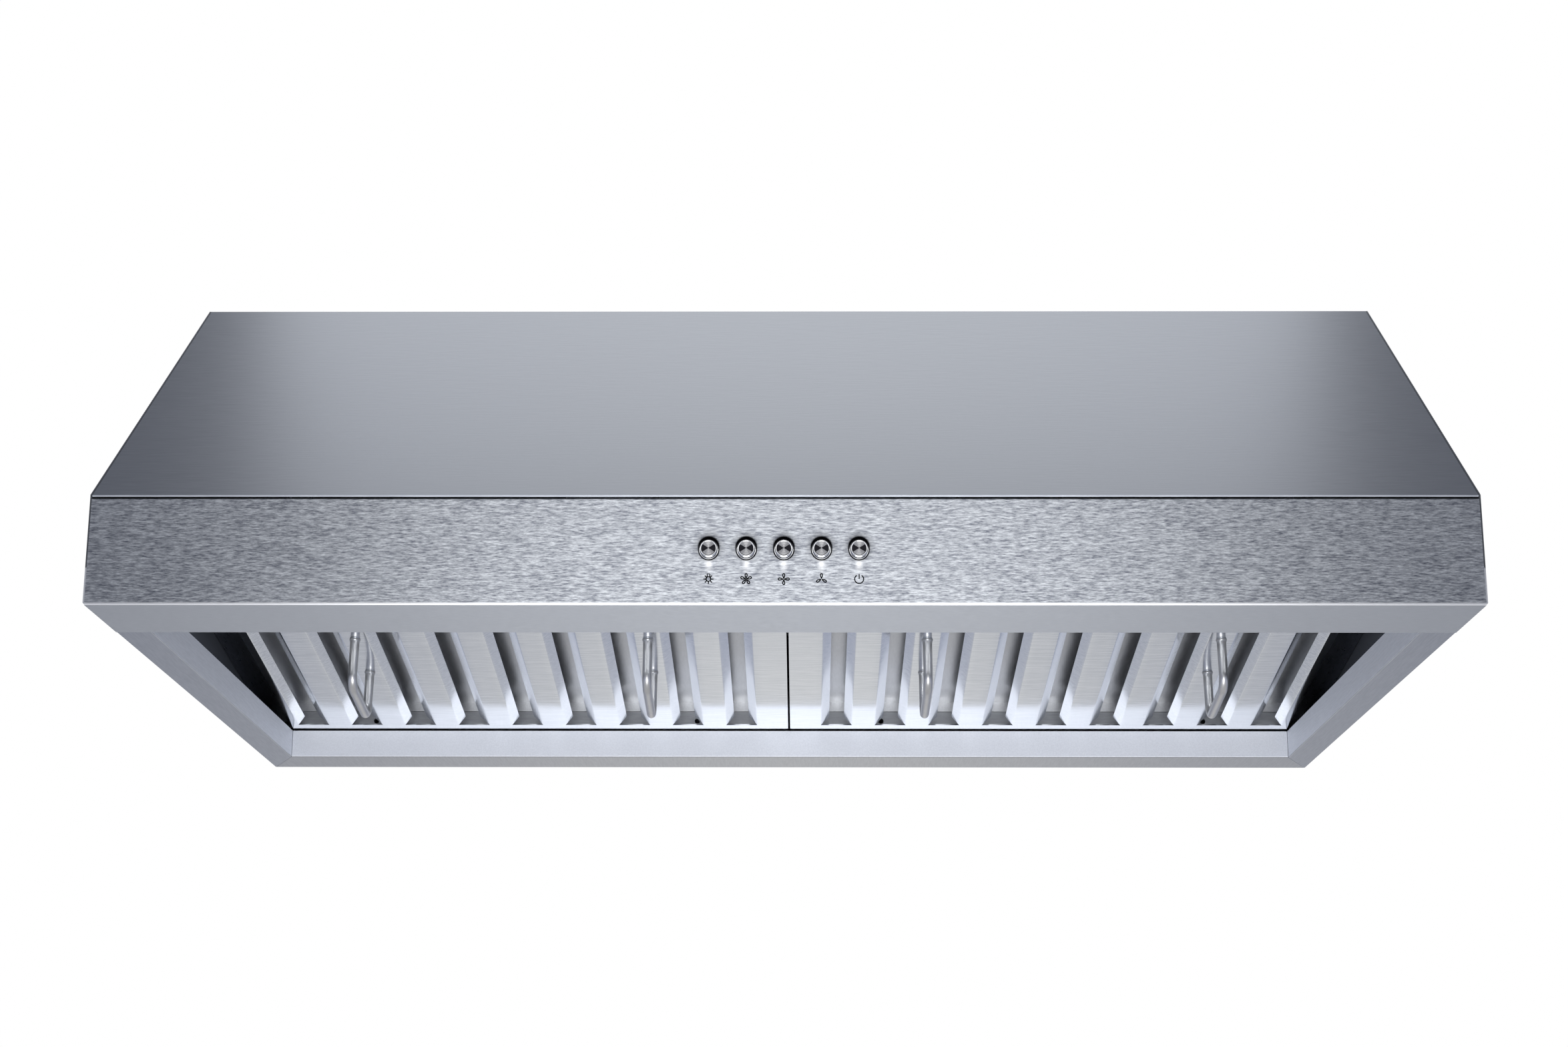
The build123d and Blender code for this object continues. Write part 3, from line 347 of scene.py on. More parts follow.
plainFinish = {
    "blackPlastic": {"dark": (0.018, 0.018, 0.020), "light": (0.035, 0.035, 0.038),
                     "rough": (0.38, 0.52)},
    "blackRubber": {"dark": (0.012, 0.012, 0.012), "light": (0.024, 0.024, 0.024),
                    "rough": (0.6, 0.8)},
    "whiteBoard": {"dark": (0.80, 0.80, 0.76), "light": (0.88, 0.88, 0.85), "rough": (0.3, 0.45)},
    "blackInk": {"dark": (0.002, 0.002, 0.003), "light": (0.006, 0.006, 0.007),
                 "rough": (0.8, 0.95), "size": 900.0, "bump": 0.05, "specular": 0.15},
    # the seal is near-black, partly its own rubber and partly painted shade round each button
    "sealRubberAndShade": {"dark": (0.003, 0.003, 0.003), "light": (0.008, 0.008, 0.008),
                   "rough": (0.7, 0.85), "specular": 0.2},
}
finish.update({name: plainMaterial(name, **values) for name, values in plainFinish.items()})


buttonShade = {
    # millimetres from each button's axis: a painted dark contact shadow above it, and a painted pale gleam below
    # it that stands for the chrome's reflection
    "shadeUp": 1.9, "shadeFrom": 5.55, "shadeTo": 6.3, "softTo": 9.5, "softDepth": 0.45,
    "gleamDown": -7.2, "gleamNarrow": 2.2, "gleamFrom": 1.5, "gleamTo": 6.0, "gleamDepth": 0.5,
    "gleamTone": (1.0, 1.0, 1.0), "softTone": (0.03, 0.03, 0.035),
    "coreTone": (0.004, 0.004, 0.005),
    "rowEnd": (2.49, 2.5),  # both marks stop here, in pitches from the middle button
}


def buttonDistance(tree, place, up, narrow=1.0):
    # metres to the point that lies up above the nearest button's axis, x counted narrow times
    half = buttonPitch / 2
    reach = 0.1  # metres to both sides of the point over which z is counted from it
    wrapped = reckon(tree, "WRAP", place["X"], half, -half)
    height = buttonHeight + up * mm
    spot = tree.nodes.new("ShaderNodeCombineXYZ")
    across = spread(tree, wrapped, -half * narrow, half * narrow, -half, half)
    above = spread(tree, place["Z"], -reach, reach, height - reach, height + reach)
    tree.links.new(across, spot.inputs["X"])
    tree.links.new(above, spot.inputs["Z"])
    length = tree.nodes.new("ShaderNodeVectorMath")
    length.operation = "LENGTH"
    tree.links.new(spot.outputs["Vector"], length.inputs[0])
    return length.outputs["Value"]


def shadeButtons(tree, place, tone):
    # the tone with the painted gleam, then the painted soft shadow, then its painted core laid over it
    s = buttonShade
    aside = reckon(tree, "ABSOLUTE", place["X"])
    row = spread(tree, aside, 1, 0, s["rowEnd"][0] * buttonPitch, s["rowEnd"][1] * buttonPitch)
    above = buttonDistance(tree, place, s["shadeUp"])
    soft = spread(tree, above, s["softDepth"], 0, s["shadeFrom"] * mm, s["softTo"] * mm)
    core = spread(tree, above, 1, 0, s["shadeFrom"] * mm, s["shadeTo"] * mm)
    below = buttonDistance(tree, place, s["gleamDown"], s["gleamNarrow"])
    gleam = spread(tree, below, s["gleamDepth"], 0, s["gleamFrom"] * mm, s["gleamTo"] * mm)
    tone = mixColour(tree, product(tree, row, gleam), tone, s["gleamTone"])
    tone = mixColour(tree, product(tree, row, soft), tone, s["softTone"])
    return mixColour(tree, product(tree, row, core), tone, s["coreTone"])


panelFinish = {
    "dark": (0.19, 0.205, 0.25), "light": (0.77, 0.80, 0.84), "toneFrom": 0.33, "toneTo": 0.67,
    "lipDark": (0.41, 0.43, 0.465), "lipLight": (0.47, 0.49, 0.525),
    "grain": (230, 1300, 1500), "detail": 4.0, "crispness": 0.7, "rough": (0.40, 0.48),
    "anisotropy": 0.88, "bump": 0.25, "depth": 0.00003,
    "bend": (0.97, 0.98, 1.0), "bendTop": (1.2, 1.7),  # painted highlight along the bottom bend up to here, millimetres
    "downward": (-0.90, -0.98),  # the normal's z where the lip starts and where it is full
}


def brushedPanel():
    # grain along X: gloss spreads across it (up and down), and the lip underneath is brushed finer
    s = panelFinish
    mat, tree, shader = newMaterial("panelSteel")
    shader.inputs["Metallic"].default_value = 1.0
    shader.inputs["Anisotropic"].default_value = s["anisotropy"]
    fine = stretchedNoise(tree, s["grain"], s["detail"], s["crispness"])
    faceTone = twoTone(tree, fine, s["dark"], s["light"], s["toneFrom"], s["toneTo"])
    lipTone = twoTone(tree, fine, s["lipDark"], s["lipLight"])
    place = placeAxes(tree)
    bendLow, bendHigh = (bottomZ + height * mm for height in s["bendTop"])
    bendHighlight = spread(tree, place["Z"], 1, 0, bendLow, bendHigh)
    underneath = spread(tree, normalAxes(tree)["Z"], 0, 1, *s["downward"])
    # painted highlight along the bottom bend, over the painted shadow and gleam round the buttons
    tone = mixColour(tree, bendHighlight, shadeButtons(tree, place, faceTone), s["bend"])
    tree.links.new(mixColour(tree, underneath, tone, lipTone), shader.inputs["Base Color"])
    tree.links.new(spread(tree, fine, *s["rough"]), shader.inputs["Roughness"])
    across = tree.nodes.new("ShaderNodeCombineXYZ")
    across.inputs["Y"].default_value = -1.0
    across.inputs["Z"].default_value = 1.0
    tree.links.new(across.outputs["Vector"], shader.inputs["Tangent"])
    addBump(tree, shader, fine, s["bump"], s["depth"])
    return mat


wallFinish = {
    "grain": (900, 60, 900), "bump": 0.08, "depth": 0.00002,
    # the flanges underneath are toned darker than the same brushed steel elsewhere, the side ones darkest: painted
    # shade
    "sideDark": (0.32, 0.34, 0.38), "sideLight": (0.38, 0.40, 0.44),
    "rearDark": (0.37, 0.38, 0.40), "rearLight": (0.43, 0.44, 0.46),
    "returnLitDark": (0.74, 0.76, 0.80), "returnLitLight": (0.80, 0.82, 0.86),
    "returnTop": (20.5, 21.5),  # the low return walls end here, millimetres above the bottom
    "inside": (0.16, 0.17, 0.19), "outside": (0.60, 0.635, 0.70),
    "flangeRough": 0.33, "wallRough": 0.54,
    "sideReach": (0.05, 0.15), "backReach": (0.3, 0.6),  # where an outer face counts as one
}


def wallSheet(name, flangeDark, flangeLight):
    # side and rear walls: the flange underneath keeps its grain, the low return walls are painted paler, a painted
    # light, and more matt, the inner faces above them are painted dark, a painted shade, the outer faces are as
    # the slope
    s = wallFinish
    mat, tree, shader = newMaterial(name)
    shader.inputs["Metallic"].default_value = 1.0
    fine = stretchedNoise(tree, s["grain"])
    normal, place = normalAxes(tree), placeAxes(tree)
    upright = spread(tree, reckon(tree, "ABSOLUTE", normal["Z"]), 1, 0)
    toSide = spread(tree, product(tree, place["X"], normal["X"]), 0, 1, *s["sideReach"])
    toBack = spread(tree, normal["Y"], 0, 1, *s["backReach"])
    outward = reckon(tree, "MAXIMUM", toSide, toBack)
    returnLow, returnHigh = (bottomZ + height * mm for height in s["returnTop"])
    high = spread(tree, place["Z"], 0, 1, returnLow, returnHigh)
    flange = twoTone(tree, fine, flangeDark, flangeLight)
    low = twoTone(tree, fine, s["returnLitDark"], s["returnLitLight"])
    # painted light on the low return walls, painted shade on the inner faces above them
    wall = mixColour(tree, outward, mixColour(tree, high, low, s["inside"]), s["outside"])
    tree.links.new(mixColour(tree, upright, flange, wall), shader.inputs["Base Color"])
    roughness = spread(tree, upright, s["flangeRough"], s["wallRough"], 0, 1)
    tree.links.new(roughness, shader.inputs["Roughness"])
    addBump(tree, shader, fine, s["bump"], s["depth"])
    return mat


lensFinish = {
    "dark": (0.88, 0.90, 0.91), "light": (0.95, 0.96, 0.97), "grain": (900, 900, 900),
    "rough": (0.28, 0.42), "clear": 0.55, "bump": 0.15, "depth": 0.00004,
}


def frostedGlass():
    # half clear, with a fine frost in colour, roughness and surface
    s = lensFinish
    mat, tree, shader = newMaterial("frostedGlass")
    fine = stretchedNoise(tree, s["grain"])
    tree.links.new(twoTone(tree, fine, s["dark"], s["light"]), shader.inputs["Base Color"])
    tree.links.new(spread(tree, fine, *s["rough"]), shader.inputs["Roughness"])
    shader.inputs["Transmission Weight"].default_value = s["clear"]
    addBump(tree, shader, fine, s["bump"], s["depth"])
    return mat


capFinish = {
    "dark": (0.56, 0.56, 0.58), "light": (0.68, 0.68, 0.70), "rings": (2.0, 60.0, 1.0),
    "rough": (0.22, 0.34), "anisotropy": 0.9, "grooveTurn": 0.25,  # grooves run round the cap
    # the dark sectors are a painted reflection of a turned face
    "wedgeReflection": (0.035, 0.034, 0.042), "wedgeReflectionEdge": (0.79, 0.86),
}


def turnedSteel():
    # lathe-turned face: the highlight is stretched across rings that follow the piece's own UV map
    s = capFinish
    mat, tree, shader = newMaterial("turnedSteel")
    shader.inputs["Metallic"].default_value = 1.0
    shader.inputs["Anisotropic"].default_value = s["anisotropy"]
    shader.inputs["Anisotropic Rotation"].default_value = s["grooveTurn"]
    uv = tree.nodes.new("ShaderNodeUVMap")
    uv.uv_map = "turning"
    fine = noiseOver(tree, uv.outputs["UV"], s["rings"])
    rings = twoTone(tree, fine, s["dark"], s["light"])
    # painted reflection: two dark sectors, left and right, where |cos(2 pi u)| passes the sector's edge, standing
    # for the dark side reflections of a turned face
    turn = reckon(tree, "MULTIPLY", axes(tree, uv.outputs["UV"])["X"], 2 * math.pi)
    size = reckon(tree, "ABSOLUTE", reckon(tree, "COSINE", turn))
    wedgeReflection = spread(tree, size, 0, 1, *s["wedgeReflectionEdge"])
    tree.links.new(mixColour(tree, wedgeReflection, rings, s["wedgeReflection"]), shader.inputs["Base Color"])
    tree.links.new(spread(tree, fine, *s["rough"]), shader.inputs["Roughness"])
    tangent = tree.nodes.new("ShaderNodeTangent")
    tangent.direction_type = "UV_MAP"
    tangent.uv_map = "turning"
    tree.links.new(tangent.outputs["Tangent"], shader.inputs["Tangent"])
    return mat


finish["panelSteel"] = brushedPanel()
finish["sideSteel"] = wallSheet("sideSteel", wallFinish["sideDark"], wallFinish["sideLight"])
finish["rearSteel"] = wallSheet("rearSteel", wallFinish["rearDark"], wallFinish["rearLight"])
finish["frostedGlass"] = frostedGlass()
finish["turnedSteel"] = turnedSteel()

slotFinish = {
    "stainless_brushed": "flangeSteel", "stainless_inner": "flangeSteel",
    "stainless_bright": "filterSteel", "galvanised": "zincSheet", "chrome": "chromeSteel",
    "button_metal": "chromeSteel", "spring_steel": "springSteel",
    "turned_aluminium": "castAluminium", "motor_iron": "motorIron", "lens_glass": "frostedGlass",
    "lamp_board_white": "whiteBoard", "black_plastic": "blackPlastic",
    "black_rubber": "blackRubber",
}
ownFinish = {
    "front_panel": "panelSteel", "top_wrap": "slopeSteel", "back_panel": "rearSteel",
    "side_panel_left": "sideSteel", "side_panel_right": "sideSteel",
    "filter_frame_left": "frameShadeSteel", "filter_frame_right": "frameShadeSteel",
    "filter_rail_left": "railShadeSteel", "filter_rail_right": "railShadeSteel",
    "filter_baffles_left": "baffleSteel", "filter_baffles_right": "baffleSteel",
    "filter_handles_left": "handleSteel", "filter_handles_right": "handleSteel",
}
for part in frame["record"]["subparts"]:
    node = nodes[part["node"]]
    node.data.materials.clear()
    chosen = ownFinish.get(part["node"], slotFinish[part["material_slot"]])
    node.data.materials.append(finish[chosen])
print("materials assigned")


filterShape = {
    # millimetres and degrees, in the filter's own flat drawing
    "tilt": 8.0, "width": 356.2, "front": 325.0, "rear": 16.0, "sheet": 0.8, "gap": 1.5,
    "slots": 9, "pitch": 38.35, "firstSlot": 33.1, "slotHalf": 5.2, "endLip": 10.0,
    "wing": 6.0, "wingRise": 3.4, "flare": 9.0, "bendShare": 0.08,
    "wingSteps": (0.03, 0.07, 0.12, 0.19, 0.3, 0.5, 0.75, 1.0),
    "flareRows": 7, "runRows": 12, "flatColumns": 5, "lipRows": 4, "sharpAngle": 50, "merge": 1e-4,
    "wire": 3.0, "handleSpan": 63.0, "handleDrop": 32.0, "handleMiddle": -153.0,
    "handleBend": 9.0, "handleSlots": (2, 7), "weldSwell": 0.22, "weldHeight": 0.9,
    "legRows": 14, "turnRows": 12, "gripRows": 10, "wireSides": 24,
}


def filterPivot():
    # the hinge joint's point, which is where the filter's own drawing has its origin
    joint = next(j for j in frame["joints"] if j["name"] == "filter_right_drop")
    return Vector(joint["pos_m"])


def filterMatrix(side):
    # own drawing in millimetres, tilted into place; the left filter is its mirror image
    tilt = Matrix.Rotation(math.radians(-filterShape["tilt"]), 4, "X")
    gap = Matrix.Translation((filterShape["gap"] / 2 * mm, 0, 0))
    place = Matrix.Translation(filterPivot()) @ gap @ tilt @ Matrix.Scale(mm, 4)
    return place if side > 0 else Matrix.Diagonal((-1, 1, 1, 1)) @ place


def setFilterPart(obj, side):
    # mirroring turns a shape inside out, so the left one's faces are flipped back
    obj.data.transform(filterMatrix(side))
    if side < 0:
        obj.data.flip_normals()


def slotCentres():
    # firstSlot + n * pitch
    return filterShape["firstSlot"] + np.arange(filterShape["slots"]) * filterShape["pitch"]


def wingHeight(t):
    # rise * (sqrt(t^2 + k^2) - k) / (sqrt(1 + k^2) - k): a flat slope with a tight bend at its foot
    k = filterShape["bendShare"]
    climb = (np.sqrt(t ** 2 + k ** 2) - k) / (math.sqrt(1 + k ** 2) - k)
    return filterShape["wingRise"] * climb


def pressedFace(side):
    # flat strips between slots, each with a wing climbing beside every slot; the wing's width and
    # height shrink to nothing over the flare at the slot's ends
    s = filterShape
    window = s["slotHalf"] + s["wing"]
    centres = slotCentres()
    lefts = np.concatenate([[0.0], centres + window])
    rights = np.concatenate([centres - window, [s["width"]]])
    slotFront, slotRear = -s["front"] + s["endLip"], -s["endLip"]
    along = np.concatenate([
        slotFront + s["flare"] * np.linspace(0, 1, s["flareRows"]),
        np.linspace(slotFront + s["flare"], slotRear - s["flare"], s["runRows"])[1:-1],
        slotRear - s["flare"] * np.linspace(1, 0, s["flareRows"]),
    ])
    reach = np.clip(np.minimum(along - slotFront, slotRear - along) / s["flare"], 0, 1)
    t = reach[:, None] * np.array(s["wingSteps"])[None, :]
    points, faces, start = [], [], 0
    for strip, (left, right) in enumerate(zip(lefts, rights)):
        flatX = np.repeat(np.linspace(left, right, s["flatColumns"])[None, :], len(along), 0)
        columnsX, columnsZ = [flatX], [np.zeros_like(flatX)]
        if strip < len(rights) - 1:
            columnsX.append(right + s["wing"] * t)
            columnsZ.append(wingHeight(t))
        if strip > 0:
            columnsX.insert(0, (left - s["wing"] * t)[:, ::-1])
            columnsZ.insert(0, wingHeight(t)[:, ::-1])
        x, z = np.concatenate(columnsX, 1), np.concatenate(columnsZ, 1)
        y = np.repeat(along[:, None], x.shape[1], 1)
        points.append(np.stack([x, y, z], -1).reshape(-1, 3))
        faces.append(gridFaces(*x.shape) + start)
        start += x.size
    lipX = np.concatenate([np.linspace(a, b, s["flatColumns"]) for a, b in zip(lefts, rights)])
    for ends in ((-s["front"], slotFront), (slotRear, s["rear"])):
        x, y = np.meshgrid(lipX, np.linspace(*ends, s["lipRows"]))
        points.append(np.stack([x, y, np.zeros_like(x)], -1).reshape(-1, 3))
        faces.append(gridFaces(*x.shape) + start)
        start += x.size
    word = "left" if side < 0 else "right"
    obj = meshObject("filterFace_" + word, np.concatenate(points), np.concatenate(faces))
    tidyMesh(obj, s["merge"])
    lookAgainst(obj, 2)  # the seen side looks down
    addWall(obj, s["sheet"])
    obj.data.set_sharp_from_angle(angle=math.radians(s["sharpAngle"]))
    setFilterPart(obj, side)
    return placePiece(obj, "filter_" + word, finish["filterSteel"],
                      ["filter_face_" + word])


def handlePath(x):
    # staple: leg down, quarter bend, grip, quarter bend, leg up, all in one plane across X
    s = filterShape
    r, drop, legRows = s["handleBend"], -s["handleDrop"], s["legRows"]
    y0 = s["handleMiddle"] - s["handleSpan"] / 2
    y1 = s["handleMiddle"] + s["handleSpan"] / 2
    leg = np.linspace(0.0, drop + r, legRows)
    turn = np.linspace(0, math.pi / 2, s["turnRows"])[1:]
    grip = np.linspace(y0 + r, y1 - r, s["gripRows"])[1:]
    y = np.concatenate([np.full(legRows, y0), y0 + r - r * np.cos(turn), grip,
                        y1 - r + r * np.sin(turn), np.full(legRows - 1, y1)])
    z = np.concatenate([leg, drop + r - r * np.sin(turn), np.full(len(grip), drop),
                        drop + r - r * np.cos(turn), leg[::-1][1:]])
    return np.stack([np.full_like(y, x), y, z], -1)


def tubeAlong(path, radius, steps):
    # circle of the given radius at each path point, in the plane square to the path
    tangent = np.gradient(path, axis=0)
    tangent /= np.linalg.norm(tangent, axis=1, keepdims=True)
    across = np.array([1.0, 0.0, 0.0])
    normal = np.cross(tangent, across)
    angle = np.linspace(0, 2 * math.pi, steps, endpoint=False)
    circle = (np.cos(angle)[None, :, None] * across
              + np.sin(angle)[None, :, None] * normal[:, None, :])
    return path[:, None, :] + np.asarray(radius).reshape(-1, 1, 1) * circle


def wireHandles(side):
    # two staples of round wire, thicker at the weld:
    # radius = wire * (1 + weldSwell * exp(-depth / weldHeight))
    s = filterShape
    word = "left" if side < 0 else "right"
    points, faces, start = [], [], 0
    for index in s["handleSlots"]:
        path = handlePath(slotCentres()[index] - s["pitch"] / 2)
        radius = s["wire"] * (1 + s["weldSwell"] * np.exp(path[:, 2] / s["weldHeight"]))
        tube = tubeAlong(path, radius, s["wireSides"])
        points.append(tube.reshape(-1, 3))
        faces.append(gridFaces(tube.shape[0], tube.shape[1], wrapCols=True) + start)
        start += tube.shape[0] * tube.shape[1]
    obj = meshObject("handles_" + word, np.concatenate(points), np.concatenate(faces))
    closeHoles(obj)
    setFilterPart(obj, side)
    return placePiece(obj, "filter_" + word, finish["handleSteel"],
                      ["filter_handles_" + word])


for side in (-1, 1):
    pressedFace(side)
    wireHandles(side)
print("filters dressed")


buttonShape = {
    # millimetres from the button's axis and behind the panel's face; what stands proud is negative
    "capRadius": 4.6, "faceRadius": 3.9, "proud": 5.0, "rim": 0.18, "rimSteps": 7, "capBack": 5.5,
    "faceSink": 0.12, "faceStep": 0.1, "stepSink": 0.02, "groove": 0.08,
    "waistFront": -2.6, "waistBack": -2.1, "waistEdge": 0.1, "waistDepth": 0.12,
    "stemRadius": 2.5, "stemBore": 2.3, "stemBack": 14.0, "boreEnd": 10.6,
    "bezelRadius": 5.75, "bezelInner": 4.75, "bezelProud": 1.4, "bezelBack": 4.5,
    "bezelNeck": 0.5, "bezelRound": 0.15, "sealInner": 5.38,
    "sealStep": (0.2, 0.1), "sealDrop": 0.4,
    "turnSteps": 96, "stemSteps": 32, "sharpAngle": 35, "merge": 1e-7,
    "flatNormal": -0.9,  # a cap's face is turned where its normal's y is below this
}
buttonNames = ("light", "fan_high", "fan_medium", "fan_low", "power")


def turned(name, profile, centre, steps):
    # profile of (radius, depth) carried round the Y axis through centre;
    # u is the angle, v the radius
    profile = np.array(profile, float)
    angle = np.linspace(0, 2 * math.pi, steps + 1)
    radius, depth = profile[:, 0][:, None], profile[:, 1][:, None]
    x = radius * np.cos(angle) * mm + centre[0]
    z = radius * np.sin(angle) * mm + centre[2]
    y = (depth + 0 * angle) * mm + centre[1]
    u = angle[None, :] / (2 * math.pi) + 0 * radius
    v = radius / 10 + 0 * angle[None, :]
    grid = gridFaces(len(profile), steps + 1)
    obj = meshObject(name, np.stack([x, y, z], -1), grid, np.stack([u, v], -1).reshape(-1, 2))
    tidyMesh(obj, buttonShape["merge"])
    obj.data.set_sharp_from_angle(angle=math.radians(buttonShape["sharpAngle"]))
    return obj


def capProfile():
    # turned face, fine groove, quarter-round bright rim, side with a shallow waist, back
    s = buttonShape
    face, edge, front, rim = s["faceRadius"], s["capRadius"], -s["proud"], s["rim"]
    turnedFlat = front + s["faceSink"]
    bend = [(edge - rim + rim * math.sin(a), front + rim - rim * math.cos(a))
            for a in np.linspace(0, math.pi / 2, s["rimSteps"])]
    waist = edge - s["waistDepth"]
    return ([(0, turnedFlat), (face * 0.5, turnedFlat), (face - s["faceStep"], turnedFlat),
             (face, front + s["stepSink"]), (face + s["groove"], front)] + bend
            + [(edge, s["waistFront"]), (waist, s["waistFront"] + s["waistEdge"]),
               (waist, s["waistBack"] - s["waistEdge"]), (edge, s["waistBack"]),
               (edge, s["capBack"]), (0, s["capBack"])])


def stemProfile():
    # plunger with a blind bore at its back, which takes the return spring when it is pressed
    s = buttonShape
    outer, bore = s["stemRadius"], s["stemBore"]
    return [(0, s["capBack"]), (outer, s["capBack"]), (outer, s["stemBack"]),
            (bore, s["stemBack"]), (bore, s["boreEnd"]), (0, s["boreEnd"])]


def bezelProfile():
    # sleeve up to a broken inner edge, flat front, seal falling away outwards, then the neck
    # through the panel
    s = buttonShape
    outer, inner, front = s["bezelRadius"], s["bezelInner"], -s["bezelProud"]
    neck, back = outer - s["bezelNeck"], s["bezelBack"]
    stepIn, stepBack = s["sealStep"]
    return [(inner, back), (inner, front + s["bezelRound"]), (inner + s["bezelRound"], front),
            (s["sealInner"], front), (outer - stepIn, front + stepBack),
            (outer, front + s["sealDrop"]), (outer, 0), (neck, 0), (neck, back), (inner, back)]


def buttonCentre(name):
    # the button's axis where it passes the panel's face
    low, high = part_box("button_" + name)
    return Vector(((low.x + high.x) / 2, frontY, (low.z + high.z) / 2))


def addSecond(obj, material, chosen):
    # a second material on the chosen faces
    obj.data.materials.append(material)
    obj.data.polygons.foreach_set("material_index", chosen.astype(np.int32))


def axisDistance(obj, centre):
    # each face's distance from the button's axis
    middles = faceValues(obj, "center", 3)
    return np.hypot(middles[:, 0] - centre.x, middles[:, 2] - centre.z)


def pushButton(name):
    # cap with a turned face and chrome elsewhere, and the plunger behind it
    centre = buttonCentre(name)
    cap = turned("cap_" + name, capProfile(), centre, buttonShape["turnSteps"])
    placePiece(cap, "push_" + name, finish["turnedSteel"], ["button_" + name])
    limit = (buttonShape["faceRadius"] - buttonShape["faceStep"] / 2) * mm
    flat = faceValues(cap, "normal", 3)[:, 1] < buttonShape["flatNormal"]
    onFace = (axisDistance(cap, centre) < limit) & flat
    addSecond(cap, finish["chromeSteel"], ~onFace)
    stem = turned("stem_" + name, stemProfile(), centre, buttonShape["stemSteps"])
    placePiece(stem, "push_" + name, finish["blackPlastic"])


def turnedBezel(name):
    # chrome ring with a black seal round it, its near-black partly the seal's own rubber and partly painted shade
    # round the button
    centre = buttonCentre(name)
    bezel = turned("bezel_" + name, bezelProfile(), centre, buttonShape["turnSteps"])
    placePiece(bezel, "hood", finish["chromeSteel"], ["button_bezels"])
    onSeal = axisDistance(bezel, centre) > buttonShape["sealInner"] * mm
    addSecond(bezel, finish["sealRubberAndShade"], onSeal)


symbolShape = {
    # millimetres about each symbol's centre, which lies this far below its button
    "drop": 16.1, "line": 0.6, "ink": 0.06,
    "powerRadius": 2.4, "powerArc": (122, 418), "powerStroke": (2.9, 1.6, 0.1), "powerSteps": 40,
    "lampRadius": 1.25, "rayFrom": 1.3, "rayTo": 2.75,
    "socketHalf": 0.68, "socketLow": 1.2, "socketHigh": 2.85,
    "petalLength": 2.6, "petalWidth": 0.80, "petalFoot": 0.4,
    "petals": {"fan_high": 5, "fan_medium": 4, "fan_low": 3},
}


def ringOutline(radius, count=48, start=0.0, end=2 * math.pi):
    # radius * (cos a, sin a), a from start to end
    angle = np.linspace(start, end, count)
    return np.stack([radius * np.cos(angle), radius * np.sin(angle)], -1)


def ribbon(line, width, closed=False):
    # a line in the panel's plane widened by half its width to each side
    line = np.asarray(line, float)
    if closed:
        ahead, behind = np.roll(line, -1, 0), np.roll(line, 1, 0)
        tangent = ahead - behind
    else:
        tangent = np.gradient(line, axis=0)
    tangent /= np.linalg.norm(tangent, axis=1, keepdims=True)
    side = np.stack([-tangent[:, 1], tangent[:, 0]], -1) * width / 2
    return np.stack([line - side, line + side], 1)


def petal(turn, count=40):
    # teardrop: height = length (1 - cos a) / 2, half width = width * sin(a) * sin(a / 2)^1.5,
    # a from 0 to 2 pi, moved out by the foot and turned about the centre
    s = symbolShape
    a = np.linspace(0, 2 * math.pi, count, endpoint=False)
    wide = s["petalWidth"] * np.sin(a) * np.sin(a / 2) ** 1.5
    tall = s["petalFoot"] + s["petalLength"] * (1 - np.cos(a)) / 2
    cosine, sine = math.cos(turn), math.sin(turn)
    return np.stack([wide, tall], -1) @ np.array([[cosine, sine], [-sine, cosine]])


def symbolLines(name):
    # every symbol as (line, closed) pairs
    s = symbolShape
    if name == "power":
        start, end = map(math.radians, s["powerArc"])
        stroke = np.array([[0, height] for height in s["powerStroke"]])
        return [(ringOutline(s["powerRadius"], s["powerSteps"], start, end), False),
                (stroke, False)]
    if name == "light":
        reach = np.array([s["rayFrom"], s["rayTo"]])[:, None]
        turns = [k * math.pi / 4 for k in range(8) if k != 2]  # the socket takes one ray's place
        rays = [(reach * np.array([math.cos(a), math.sin(a)]), False) for a in turns]
        half, low, high = s["socketHalf"], s["socketLow"], s["socketHigh"]
        socket = np.array([[-half, low], [-half, high], [half, high], [half, low]])
        return [(ringOutline(s["lampRadius"])[:-1], True), (socket, False)] + rays
    count = s["petals"][name]
    return [(petal(-k * 2 * math.pi / count), True) for k in range(count)]


def symbol(name):
    # the symbol's lines as flat ribbons of ink on the panel below its button
    centre = buttonCentre(name)
    s = symbolShape
    points, faces, start = [], [], 0
    for line, closed in symbolLines(name):
        band = ribbon(line, s["line"], closed)
        depth = np.full(band.shape[:2], -s["ink"])
        points.append(np.stack([band[..., 0], depth, band[..., 1]], -1).reshape(-1, 3))
        faces.append(gridFaces(band.shape[0], 2, wrapRows=closed) + start)
        start += band.shape[0] * 2
    place = np.array([centre.x, centre.y, centre.z - s["drop"] * mm])
    points = np.concatenate(points) * mm + place
    obj = meshObject("symbol_" + name, points, np.concatenate(faces), smooth=False)
    lookAgainst(obj, 1)
    addWall(obj, s["ink"] * mm)
    return placePiece(obj, "hood", finish["blackInk"])


for name in buttonNames:
    pushButton(name)
    symbol(name)
    turnedBezel(name)
print("buttons and symbols made")


cameraPlace = {
    "right": 0.0116, "before": 1.3496, "below": 0.3165,  # from the middle of the front bottom edge
    "lensMm": 59.22, "sensorMm": 36.0, "pitchUp": 15.01, "turnLeft": 0.49, "roll": 0.13,
}


